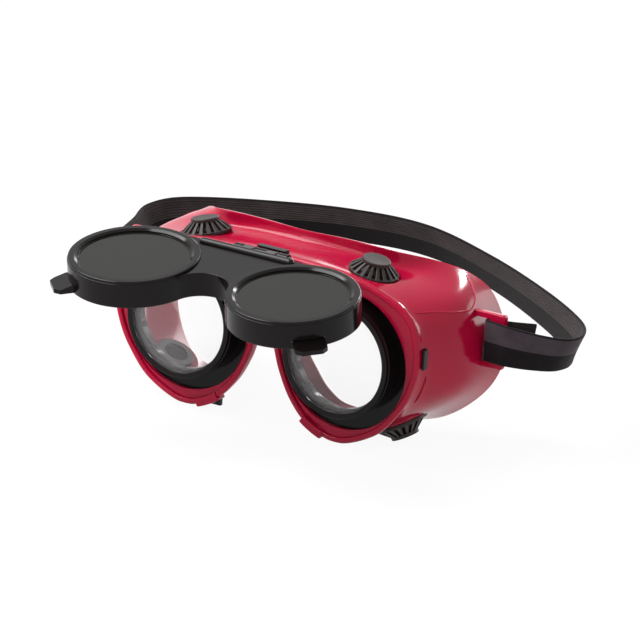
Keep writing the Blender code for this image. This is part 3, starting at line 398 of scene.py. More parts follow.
def slab(outline: Array, front: float, back: float, edge: float = 0.0, steps: int = 4) -> Surface:
    """An outline of X and Z carried along Y, with quarter-round edges.

    Near each face the outline is drawn in by edge (1 - sin a) at depth edge (1 - cos a) behind it.

    Args:
        outline: Points with shape (points, 2), run round clockwise.
        front: First Y.
        back: Last Y.
        edge: Radius of the edges, or zero for sharp ones.
        steps: Rings in each edge.

    Returns:
        The solid.
    """
    angles = np.linspace(0.0, math.pi / 2, steps) if edge else np.array([math.pi / 2])
    drawn = edge * (1 - np.sin(angles))
    depth = edge * (1 - np.cos(angles))
    amounts = np.concatenate([drawn, drawn[::-1]])
    depths = np.concatenate([front + depth, back - depth[::-1]])
    rings = outline[None] + inwards(outline)[None] * amounts[:, None, None]
    ys = np.broadcast_to(depths[:, None], rings.shape[:2])
    return Surface.grid(np.stack([rings[..., 0], ys, rings[..., 1]], axis=-1))


def bead(points: Array, radius: float, steps: int = 10, sides: int = 12, power: int = 8,
         least: float = 0.05) -> Surface:
    """A round bead along a smooth open curve, thinner at both ends.

    At share t of its length its radius is the full one times the square root of what is left of 1
    after taking off 2 t - 1 to the power, or of least where that is more.

    Args:
        points: Points of the curve, with shape (points, 3).
        radius: Radius at the middle.
        steps: Steps in each stretch.
        sides: Points round the bead.
        power: How late the bead starts to thin.
        least: Square of its thinnest share of the radius.

    Returns:
        The solid.
    """
    path = open_curve(points, steps)
    along = np.gradient(path, axis=0)
    along /= np.linalg.norm(along, axis=1)[:, None]
    across = np.cross(along, np.array([1.0, 0.0, 0.0]))
    across /= np.linalg.norm(across, axis=1)[:, None]
    up = np.cross(across, along)
    share = np.linspace(-1.0, 1.0, len(path))
    size = radius * np.sqrt(np.maximum(1 - share**power, least))
    angles = np.arange(sides) * TURN / sides
    ring = np.cos(angles)[None, :, None] * across[:, None] + np.sin(angles)[None, :, None] * up[:, None]
    return Surface.grid(path[:, None] + ring * size[:, None, None])


def block(low: Sequence[float], high: Sequence[float], edge: float = 0.0) -> Surface:
    """A box between two corners, with rounded edges.

    Args:
        low: Lowest X, Y and Z.
        high: Highest X, Y and Z.
        edge: Radius of the edges.

    Returns:
        The box.
    """
    outline = np.array([(low[0], low[2]), (low[0], high[2]), (high[0], high[2]), (high[0], low[2])])
    if edge:
        outline = rounded(outline, edge)
    return slab(outline, low[1], high[1], edge)


def along_x(outline: Array, low: float, high: float, edge: float = 0.0) -> Surface:
    """An outline of Y and Z carried along X.

    Args:
        outline: Points with shape (points, 2).
        low: Lowest X.
        high: Highest X.
        edge: Radius of the edges.

    Returns:
        The solid.
    """
    flat = slab(outline, low, high, edge)
    x, y, z = flat.points.T
    return Surface(np.column_stack([y, x, z]), flat.quads, flat.caps)


# Meshes


def make_object(name: str, surface: Surface) -> bpy.types.Object:
    """Puts a surface into a new object with its faces pointing out.

    Args:
        name: Name of the object.
        surface: Its points and faces.

    Returns:
        The object, in the scene and at the origin.
    """
    mesh = bpy.data.meshes.new(name)
    mesh.from_pydata(surface.points.tolist(), [], surface.quads.tolist() + surface.caps)
    work = bmesh.new()
    work.from_mesh(mesh)
    bmesh.ops.recalc_face_normals(work, faces=work.faces)
    work.to_mesh(mesh)
    work.free()
    if surface.weave is not None:
        layer = mesh.attributes.new("weave", "FLOAT_VECTOR", "POINT")
        layer.data.foreach_set("vector", surface.weave.astype(np.float32).ravel())
    item = bpy.data.objects.new(name, mesh)
    bpy.context.scene.collection.objects.link(item)
    return item


def carve(item: bpy.types.Object, tools: Iterable[tuple[Cut, Surface]]) -> bpy.types.Object:
    """Adds and removes shapes with Booleans, and keeps the result as the object's mesh.

    Args:
        item: The object to work on.
        tools: What to do, and the shape that does it, in order.

    Returns:
        The same object.
    """
    made = []
    for number, (cut, surface) in enumerate(tools):
        tool = make_object(f"tool_{number}", surface)
        change = item.modifiers.new(f"{cut.name.lower()} {number}", "BOOLEAN")
        change.operation = cut.value
        change.object = tool
        change.solver = "EXACT"
        made.append(tool)
    settle(item)
    for tool in made:
        mesh = tool.data
        bpy.data.objects.remove(tool, do_unlink=True)
        bpy.data.meshes.remove(mesh)
    return item


def settle(item: bpy.types.Object) -> None:
    """Makes what an object's modifiers give its own mesh, and takes the modifiers off.

    Args:
        item: The object.
    """
    bpy.context.view_layer.update()
    graph = bpy.context.evaluated_depsgraph_get()
    mesh = bpy.data.meshes.new_from_object(item.evaluated_get(graph))
    old = item.data
    item.modifiers.clear()
    item.data = mesh
    bpy.data.meshes.remove(old)


# Finishes


def new_group(name: str, inputs: Sequence[tuple[str, float]], outputs: Sequence[str]) -> bpy.types.NodeTree:
    """An empty shader node group with named number sockets.

    Args:
        name: Name of the group.
        inputs: Name and default of each input.
        outputs: Name of each output.

    Returns:
        The group.
    """
    group = bpy.data.node_groups.new(name, "ShaderNodeTree")
    for label, value in inputs:
        socket = group.interface.new_socket(label, in_out="INPUT", socket_type="NodeSocketFloat")
        socket.default_value = value
    for label in outputs:
        group.interface.new_socket(label, in_out="OUTPUT", socket_type="NodeSocketFloat")
    group.nodes.new("NodeGroupInput")
    group.nodes.new("NodeGroupOutput")
    return group


class Nodes:
    """Short ways to add and join the nodes of one tree."""

    def __init__(self, tree: bpy.types.NodeTree) -> None:
        """Keeps the tree."""
        self.tree = tree

    def add(self, kind: str, **values: Any) -> bpy.types.Node:
        """A new node, with its own settings.

        Args:
            kind: Its type.
            values: What to set on it, by name.

        Returns:
            The node.
        """
        node = self.tree.nodes.new(kind)
        for key, value in values.items():
            setattr(node, key, value)
        return node

    def link(self, source: Any, target: Any) -> None:
        """Joins two sockets."""
        self.tree.links.new(source, target)

    def feed(self, socket: Any, value: Any) -> None:
        """Links a socket, or sets a plain number on it.

        Args:
            socket: The input that is fed.
            value: A socket, a number, or None to leave it.
        """
        if isinstance(value, bpy.types.NodeSocket):
            self.link(value, socket)
        elif value is not None:
            socket.default_value = value

    def maths(self, operation: str, a: Any, b: Any = None, clamp: bool = False) -> Any:
        """The result of one Math node.

        Args:
            operation: Name of what it does.
            a: First number or socket.
            b: Second number or socket.
            clamp: Whether the result stays between 0 and 1.

        Returns:
            Its output socket.
        """
        node = self.add("ShaderNodeMath", operation=operation, use_clamp=clamp)
        self.feed(node.inputs[0], a)
        self.feed(node.inputs[1], b)
        return node.outputs[0]

    def fill(self, node: bpy.types.Node, values: dict[str, Any]) -> None:
        """Links sockets to a node's inputs, or sets plain values on them, by the inputs' names."""
        for label, value in values.items():
            self.feed(node.inputs[label], value)

    def blend(self, share: Any, low: Any, high: Any) -> Any:
        """A colour between two, by a share.

        Args:
            share: The share of the second colour.
            low: First colour or socket.
            high: Second colour or socket.

        Returns:
            Its output socket.
        """
        node = self.add("ShaderNodeMix", data_type="RGBA")
        self.link(share, node.inputs["Factor"])
        for label, value in (("A", low), ("B", high)):
            plain = isinstance(value, tuple)
            self.feed(node.inputs[label], (*value, 1.0) if plain else value)
        return node.outputs["Result"]

    def bump(self, height: Any, strength: float, distance: float) -> Any:
        """The normal of a bumpy surface.

        Args:
            height: Socket of the height.
            strength: How strong the bumps are.
            distance: How far out a height of 1 stands.

        Returns:
            Its output socket.
        """
        node = self.add("ShaderNodeBump")
        self.fill(node, {"Strength": strength, "Distance": distance, "Height": height})
        return node.outputs["Normal"]

    def noise(self, vector: Any, scale: Any, detail: float = 2.0, rough: float = 0.5) -> Any:
        """A noise's value between 0 and 1, read at a vector.

        Args:
            vector: Where it is read.
            scale: How fine it is, per metre.
            detail: How many finer layers it has.
            rough: How strong those layers are.

        Returns:
            Its output socket.
        """
        node = self.add("ShaderNodeTexNoise")
        self.fill(node, {"Vector": vector, "Scale": scale, "Detail": detail, "Roughness": rough})
        return node.outputs["Fac"]


class Skin:
    """A group that gives moulded surfaces their fine grain, smears and unevenness.

    Smear is a slow noise that spreads the gloss, Grain a fine one for the bump, and Tone a broad
    one that shifts the colour a little. Height adds a wave to the grain. Each noise is told by its
    scale per metre, its detail and its roughness. The grain's scale is an input of the group.
    """

    name = "moulded skin"
    smear = (38.0, 5.0, 0.62)
    grain = (3.0, 0.55)
    wave = (60.0, 1.0, 0.5)
    wave_weight = 9.0
    tone = (22.0, 3.0, 0.6)

    @classmethod
    def group(cls) -> bpy.types.NodeTree:
        """The group, built the first time it is asked for.

        Returns:
            The group.
        """
        found = bpy.data.node_groups.get(cls.name)
        if found:
            return found
        group = new_group(cls.name, [("Gloss", 0.3), ("Spread", 0.1), ("Grain Size", 900.0)],
                          ["Roughness", "Height", "Tone"])
        nodes = Nodes(group)
        given = group.nodes["Group Input"].outputs
        out = group.nodes["Group Output"].inputs
        place = nodes.add("ShaderNodeTexCoord").outputs["Object"]
        smear = nodes.noise(place, *cls.smear)
        off = nodes.maths("MULTIPLY", nodes.maths("SUBTRACT", smear, 0.5), given["Spread"])
        nodes.link(nodes.maths("ADD", off, given["Gloss"], clamp=True), out["Roughness"])
        grain = nodes.noise(place, given["Grain Size"], *cls.grain)
        wave = nodes.noise(place, *cls.wave)
        nodes.link(nodes.maths("ADD", grain, nodes.maths("MULTIPLY", wave, cls.wave_weight)), out["Height"])
        nodes.link(nodes.noise(place, *cls.tone), out["Tone"])
        return group


class Finish:
    """What the finishes share: each is made into a material once, and found again after that."""

    name: str
    slot: str

    def material(self) -> bpy.types.Material:
        """The finish as a material, built the first time it is asked for.

        Returns:
            The material.
        """
        made = bpy.data.materials.get(self.name)
        if not made:
            made = bpy.data.materials.new(self.name)
            made.use_nodes = True
            self.dress(Nodes(made.node_tree), made.node_tree.nodes["Principled BSDF"])
        return made

    def dress(self, nodes: Nodes, shader: bpy.types.Node) -> None:
        """Sets the shader up, in each finish's own way."""
        raise NotImplementedError


@dataclass(frozen=True)
class Moulded(Finish):
    """A moulded plastic, vinyl or rubber: two close tones, a gloss that smears and a fine grain.

    Scatter is the share of light that goes in and comes out again, and scatter_reach how far the
    red, green and blue of it get.
    """

    name: str
    slot: str
    colour: Colour
    shade: Colour
    gloss: float
    spread: float = 0.08
    grain: float = 900.0
    bump: float = 0.06
    bump_depth: float = 0.1 * MM
    coat: float = 0.0
    coat_gloss: float = 0.08
    specular: float = 0.5
    metallic: float = 0.0
    scatter: float = 0.0
    scatter_reach: Colour = (4.0 * MM, 0.5 * MM, 0.6 * MM)

    def dress(self, nodes: Nodes, shader: bpy.types.Node) -> None:
        """Sets the shader up, with the skin group for what is uneven.

        Args:
            nodes: The material's nodes.
            shader: Its main shader.
        """
        skin = nodes.add("ShaderNodeGroup", node_tree=Skin.group())
        nodes.fill(skin, {"Gloss": self.gloss, "Spread": self.spread, "Grain Size": self.grain})
        nodes.fill(shader, {
            "Base Color": nodes.blend(skin.outputs["Tone"], self.colour, self.shade),
            "Roughness": skin.outputs["Roughness"],
            "Normal": nodes.bump(skin.outputs["Height"], self.bump, self.bump_depth),
            "Coat Weight": self.coat,
            "Coat Roughness": self.coat_gloss,
            "Specular IOR Level": self.specular,
            "Metallic": self.metallic,
            "Subsurface Weight": self.scatter,
            "Subsurface Radius": self.scatter_reach,
            "Subsurface Scale": 1.0,
        })


@dataclass(frozen=True)
class Glass(Finish):
    """A lens: how much it shows of its own, and its faint smears."""

    name: str
    slot: str
    colour: Colour
    alpha: float
    gloss: float
    spread: float = 0.03
    specular: float = 0.5
    ior: float = 1.5

    def dress(self, nodes: Nodes, shader: bpy.types.Node) -> None:
        """Sets the shader up, with the skin group for what is uneven.

        Args:
            nodes: The material's nodes.
            shader: Its main shader.
        """
        skin = nodes.add("ShaderNodeGroup", node_tree=Skin.group())
        nodes.fill(skin, {"Gloss": self.gloss, "Spread": self.spread})
        nodes.fill(shader, {
            "Base Color": (*self.colour, 1.0),
            "Roughness": skin.outputs["Roughness"],
            "Alpha": self.alpha,
            "IOR": self.ior,
            "Specular IOR Level": self.specular,
        })


@dataclass(frozen=True)
class Webbing(Finish):
    """Woven elastic: one half of its width lighter, with a fine twill, and dark bound edges.

    The lighter half of its inner face has lengthwise cords, and painted shade darkens the inner face in
    stripes between them.
    """

    name: str = "elastic webbing"
    slot: str = "webbing"
    light: Colour = (0.078, 0.060, 0.071)
    inner: Colour = (0.090, 0.072, 0.072)
    dark: Colour = (0.008, 0.004, 0.007)
    pitch: float = 0.7 * MM
    cord_pitch: float = 1.26 * MM
    # share of the colour that the painted shade between the cords takes away at its darkest
    cord_shade_depth: float = 0.55
    half_width: float = 9.5 * MM
    binding: float = 0.7 * MM
    stripe_drop: float = 0.1 * MM
    blur: float = 0.25 * MM
    worn: tuple[float, float, float] = (90.0, 4.0, 0.6)
    worn_share: float = 0.7
    thread_share: float = 0.7
    thread_leans: tuple[float, float] = (1.0, -0.55)
    thread_bump: float = 0.55
    thread_depth: float = 0.12 * MM
    gloss: float = 0.85
    specular: float = 0.15
    sheen: float = 0.08
    sheen_gloss: float = 0.4

    def dress(self, nodes: Nodes, shader: bpy.types.Node) -> None:
        """Sets the shader up, by the band's own weave vector.

        Args:
            nodes: The material's nodes.
            shader: Its main shader.
        """
        vector = nodes.add("ShaderNodeAttribute", attribute_name="weave").outputs["Vector"]
        parts = nodes.add("ShaderNodeSeparateXYZ")
        nodes.link(vector, parts.inputs[0])
        along, across, side = parts.outputs
        twill = self.threads(nodes, along, across)
        # stripes of painted shade between the cords of the inner face, which darken its colour
        cord_shade = self.cord_shade(nodes, across, side)
        drop = nodes.maths("ADD", across, self.stripe_drop)
        upper = nodes.maths("MULTIPLY", drop, 1 / self.blur, clamp=True)
        rim = nodes.maths("SUBTRACT", nodes.maths("ABSOLUTE", across), self.half_width - self.binding)
        bound = nodes.maths("MULTIPLY", rim, 1 / self.blur, clamp=True)
        inside_rim = nodes.maths("SUBTRACT", 1.0, bound, clamp=True)
        face = nodes.blend(side, self.inner, self.light)
        base = nodes.blend(nodes.maths("MULTIPLY", upper, inside_rim), self.dark, face)
        worn = nodes.noise(vector, *self.worn)
        speckle = nodes.maths("ADD", nodes.maths("MULTIPLY", twill, self.thread_share),
                              nodes.maths("MULTIPLY", worn, self.worn_share))
        speckle = nodes.maths("MULTIPLY", speckle, cord_shade)
        grey = nodes.add("ShaderNodeCombineColor")
        for socket in grey.inputs:
            nodes.link(speckle, socket)
        shaded = nodes.add("ShaderNodeMix", data_type="RGBA", blend_type="MULTIPLY")
        nodes.fill(shaded, {"Factor": 1.0, "A": base, "B": grey.outputs[0]})
        nodes.fill(shader, {
            "Base Color": shaded.outputs["Result"],
            "Roughness": self.gloss,
            "Specular IOR Level": self.specular,
            "Sheen Weight": self.sheen,
            "Sheen Roughness": self.sheen_gloss,
            "Normal": nodes.bump(twill, self.thread_bump, self.thread_depth),
        })

    def threads(self, nodes: Nodes, along: Any, across: Any) -> Any:
        """Height of the threads: the product of two diagonal sine waves, a pitch apart.

        Args:
            nodes: The material's nodes.
            along: Distance along the band.
            across: Distance across it.

        Returns:
            A socket between 0 and 1.
        """
        waves = []
        for lean in self.thread_leans:
            slope = nodes.maths("ADD", along, nodes.maths("MULTIPLY", across, lean))
            turn = nodes.maths("MULTIPLY", slope, TURN / self.pitch)
            half = nodes.maths("MULTIPLY", nodes.maths("SINE", turn), 0.5)
            waves.append(nodes.maths("ADD", half, 0.5))
        return nodes.maths("MULTIPLY", *waves)

    def cord_shade(self, nodes: Nodes, across: Any, side: Any) -> Any:
        """Painted shade between the lengthwise cords of the inner face: a sine of the place across the band
        darkens the colour.

        Args:
            nodes: The material's nodes.
            across: Distance across the band.
            side: Share of the outer face, which has no cords.

        Returns:
            A socket of 1 on the outer face, and of less where shade is painted between the cords of the
            inner one.
        """
        wave = nodes.maths("SINE", nodes.maths("MULTIPLY", across, TURN / self.cord_pitch))
        # painted shade, darkest halfway between two cords
        dark = nodes.maths("MULTIPLY", nodes.maths("SUBTRACT", 1.0, wave), self.cord_shade_depth / 2)
        inner = nodes.maths("SUBTRACT", 1.0, side, clamp=True)
        return nodes.maths("SUBTRACT", 1.0, nodes.maths("MULTIPLY", dark, inner))


VINYL = Moulded("crimson soft vinyl", "crimson_vinyl", (0.39, 0.003, 0.034), (0.33, 0.002, 0.027),
                gloss=0.13, spread=0.10, grain=500.0, bump=0.05, coat=0.04, specular=0.17, scatter=0.35)
BLACK = Moulded("satin black plastic", "black_plastic", (0.006, 0.004, 0.004), (0.004, 0.003, 0.003),
                gloss=0.14, spread=0.12, grain=1400.0, bump=0.06, specular=0.16)
VENT = Moulded("matt vent plastic", "vent_plastic", (0.024, 0.015, 0.014), (0.015, 0.010, 0.009),
               gloss=0.50, spread=0.12, grain=1800.0, bump=0.15, specular=0.3)
RUBBER = Moulded("gasket rubber", "gasket_rubber", (0.02, 0.02, 0.02), (0.014, 0.014, 0.014),
                 gloss=0.75, bump=0.12)
STEEL = Moulded("blackened steel", "steel", (0.085, 0.082, 0.080), (0.055, 0.054, 0.053), gloss=0.42,
                metallic=1.0)
CLEAR = Glass("clear lens", "clear_glass", (0.80, 0.76, 0.78), alpha=0.08, gloss=0.05)
FILTER = Glass("dark filter", "filter_glass", (0.015, 0.015, 0.013), alpha=1.0, gloss=0.12,
               specular=0.12)
WEBBING = Webbing()


# Layout


@dataclass(frozen=True)
class Layout:
    """Where the goggles' own layout lies in the frame."""

    origin: Vector
    open_angle: float
    lens_centre: float = 41.0 * MM
    lens_radius: float = 25.0 * MM
    lens_front: float = 1.5 * MM

    @classmethod
    def from_frame(cls, frame: dict[str, Any]) -> "Layout":
        """Reads the place from the clear lenses, and the angle from the hinge's range.

        Args:
            frame: What the frame holds.

        Returns:
            The layout.
        """
        left_low, left_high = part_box("clear_lens_left")
        right_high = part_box("clear_lens_right")[1]
        middle = Vector(((left_low.x + right_high.x) / 2, left_low.y, (left_low.z + left_high.z) / 2))
        closed = math.radians(frame["joints"][0]["range_deg"][1])
        return cls(middle - Vector((0.0, cls.lens_front, 0.0)), closed)

    def matrix(self, body: Body) -> Matrix:
        """What carries a piece of a body from the layout into the frame.

        Args:
            body: The rigid group that the piece rides on.

        Returns:
            A 4 by 4 matrix.
        """
        place = Matrix.Translation(self.origin)
        if body is Body.GOGGLES:
            return place
        hinge = Matrix.Translation((0.0, HINGE_BACK, HINGE_RISE))
        return place @ hinge @ Matrix.Rotation(-self.open_angle, 4, "X") @ hinge.inverted()

    def eye(self, side: Side, back: float = 0.0) -> Matrix:
        """What carries a piece turned about Y onto the axis of one lens, and so far back."""
        return Matrix.Translation((side.value * self.lens_centre, back, 0.0))

    def put(self, item: bpy.types.Object, node: str, body: Body, finish: Finish) -> bpy.types.Object:
        """Carries a piece to its place, dresses it and lets it stand for a node.

        Args:
            item: The piece, still in the goggles' own layout.
            node: The node that it stands for.
            body: The rigid group that it rides on.
            finish: Its finish.

        Returns:
            The same piece.
        """
        item.data.transform(self.matrix(body))
        item.data.shade_smooth()
        item.data.set_sharp_from_angle(angle=SHARP_ANGLE)
        item.data.materials.clear()
        item.data.materials.append(finish.material())
        normals = item.modifiers.new("weighted normals", "WEIGHTED_NORMAL")
        normals.keep_sharp = True
        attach(item, body.value)
        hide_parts(node)
        LOG.info("%s: %d faces, %s", item.name, len(item.data.polygons), finish.name)
        return item


def mirrored(half: Array) -> Array:
    """A half outline that ends on the middle line, and its mirror image run back on the left."""
    return np.concatenate([half, half[-2::-1] * np.array([-1.0, 1.0])])


def twin_outline(centre: float, radius: float, drop: float, peak: float) -> Array:
    """Two circles joined by a straight top and a nose arch, run round clockwise.

    The arch is a circle that touches both round sides and peaks at a given Z.

    Args:
        centre: X of the right circle's centre.
        radius: Radius of both circles.
        drop: How far their centres lie below zero.
        peak: Z of the arch's highest point.

    Returns:
        Points with shape (points, 2).
    """
    rise = peak + drop
    nose = (centre**2 + rise**2 - radius**2) / (2 * (radius + rise))
    middle = peak - nose
    touch = math.atan2(middle + drop, -centre) % TURN
    right = arc((centre, -drop), radius, math.pi / 2, touch - TURN, ROUND_STEPS)
    meet = math.atan2(-drop - middle, centre)
    half_nose = arc((0.0, middle), nose, meet, math.pi / 2, SMALL_STEPS)
    half = np.concatenate([right, half_nose[1:]])
    return mirrored(half)


# Soft body


@dataclass(frozen=True)
class Vents:
    """Four slotted cones with flat caps, each on a stem that a collar holds inside the body."""

    height: float = 7.0 * MM
    base_radius: float = 11.2 * MM
    base_band: float = 1.3 * MM
    neck_radius: float = 5.9 * MM
    cap_radius: float = 6.4 * MM
    cap_thickness: float = 1.3 * MM
    wall: float = 1.5 * MM
    slots: int = 18
    slot_width: float = 1.0 * MM
    slot_base: float = 1.9 * MM
    flat_share: float = 0.72
    stem_radius: float = 6.6 * MM
    stem_wall: float = 1.0 * MM
    boss_depth: float = 4.4 * MM
    collar_thickness: float = 1.4 * MM
    collar_rim: float = 1.8 * MM
    shield_radius: float = 7.4 * MM
    shield_neck: float = 3.2 * MM
    edge: float = 0.25 * MM
    rim_steps: int = 6
    upper_place: tuple[float, ...] = (43.6 * MM, 24.7 * MM, 34.7 * MM)
    upper_lean: tuple[float, ...] = (0.20, 0.0, 0.98)
    lower_place: tuple[float, ...] = (60.5 * MM, 27.5 * MM, -31.05 * MM)
    lower_lean: tuple[float, ...] = (0.45, 0.05, -0.89)

    def places(self) -> list[tuple[str, Matrix]]:
        """Name of each vent, and the matrix that turns Y to its direction and puts it there.

        Returns:
            Pairs of name and matrix.
        """
        found = []
        for level, place, lean in (("upper", self.upper_place, self.upper_lean),
                                   ("lower", self.lower_place, self.lower_lean)):
            for side in Side:
                spot = Vector((side.value * place[0], place[1], place[2]))
                way = Vector((side.value * lean[0], lean[1], lean[2])).normalized()
                turn = way.to_track_quat("Y", "Z").to_matrix().to_4x4()
                found.append((f"{level}_{side.label}", Matrix.Translation(spot) @ turn))
        return found

    def discs(self, radius: float, low: float, high: float) -> Surface:
        """A plain disc at each vent, between two places along its own axis."""
        return Surface.joined([rod(radius, low, high).moved(matrix) for _, matrix in self.places()])

    def foot(self) -> Surface:
        """The cone's base ring and its stem, in one turned profile.

        Returns:
            The ring and stem, at the origin.
        """
        bore = self.stem_radius - self.stem_wall
        end = -self.boss_depth - SEAT_GAP
        inside = self.base_radius - self.wall
        profile = np.array([(bore, end), (self.stem_radius, end), (self.stem_radius, 0.0),
                            (self.base_radius, 0.0), (self.base_radius, self.base_band + self.edge),
                            (inside, self.base_band + self.edge), (inside, self.base_band),
                            (bore, self.base_band)])
        return turned(rounded(profile, self.edge), SMALL_STEPS)

    def cap(self) -> Surface:
        """The flat cap, with a rounded edge and a shallow dish in its top.

        Returns:
            The cap, at the origin.
        """
        low = self.height - self.cap_thickness - self.edge
        dish = self.cap_radius / 2
        round_off = 2 * self.edge
        rim = arc((self.cap_radius - round_off, self.height - round_off), round_off, 0.0, math.pi / 2,
                  self.rim_steps)
        sunk = self.height - self.edge / 2
        run = np.concatenate([[(self.neck_radius - self.wall / 2, low), (self.cap_radius, low)], rim,
                              [(dish, sunk), (self.edge, sunk)]])
        return spindle(run, SMALL_STEPS)

    def shield(self) -> Surface:
        """The plug under the cap that keeps light from passing straight through the slots.

        Returns:
            The plug, at the origin.
        """
        low = self.base_band + self.edge + SEAT_GAP
        high = self.height - self.cap_thickness
        run = np.array([(self.shield_radius, low), (self.shield_neck, high)])
        return spindle(run, SMALL_STEPS)

    def ribs(self) -> Surface:
        """The cone's ribs, from the base ring up to the cap.

        Each rib is a bar with four corners of radius and height. At radius r it is half a pitch
        wide to each side, less the angle whose sine is half a slot over r. The slots are wider at
        the base than at the cap.

        Returns:
            All the ribs, at the origin.
        """
        shoulder = self.height - self.cap_thickness
        corners = np.array([(self.base_radius - self.edge / 2, self.base_band),
                            (self.neck_radius, shoulder), (self.neck_radius - self.wall, shoulder),
                            (self.base_radius - self.wall, self.base_band)])
        radius, height = corners.T
        gaps = np.array([self.slot_base, self.slot_width, self.slot_width, self.slot_base])
        half = math.pi / self.slots - np.arcsin(gaps / 2 / radius)
        middle = np.arange(self.slots) * TURN / self.slots
        shares = np.array([-1.0, -self.flat_share, self.flat_share, 1.0])
        proud = np.array([0.0, self.edge, self.edge, 0.0])
        angles = middle[:, None, None] + shares[None, :, None] * half[None, None, :]
        outer = np.array([1.0, 1.0, 0.0, 0.0])
        reach = radius[None, None, :] + proud[None, :, None] * outer[None, None, :]
        reach = np.broadcast_to(reach, angles.shape)
        tall = np.broadcast_to(height[None, None, :], angles.shape)
        rows = np.stack([reach * np.cos(angles), tall, reach * np.sin(angles)], axis=-1)
        return Surface.joined([Surface.grid(rib) for rib in rows])

    def collar(self) -> Surface:
        """The collar that holds a vent's stem inside the body.

        Returns:
            The collar, at the origin.
        """
        back = -self.boss_depth - 2 * SEAT_GAP
        front = back - self.collar_thickness
        inner = self.stem_radius - self.stem_wall
        outer = self.stem_radius + SEAT_GAP + self.collar_rim
        return turned(rounded(oblong(inner, outer, front, back), self.edge), SMALL_STEPS)

    def build(self, layout: Layout) -> None:
        """Makes the vents and their collars.

        Args:
            layout: Where the goggles lie.
        """
        cowl = Surface.joined([self.foot(), self.cap(), self.shield(), self.ribs()])
        collar = self.collar()
        for label, matrix in self.places():
            item = make_object(f"vent_cowl_{label}_fine", cowl.moved(matrix))
            layout.put(item, f"vent_cowl_{label}", Body.GOGGLES, VENT)
            ring = make_object(f"vent_collar_{label}_fine", collar.moved(matrix))
            layout.put(ring, f"vent_collar_{label}", Body.GOGGLES, VENT)


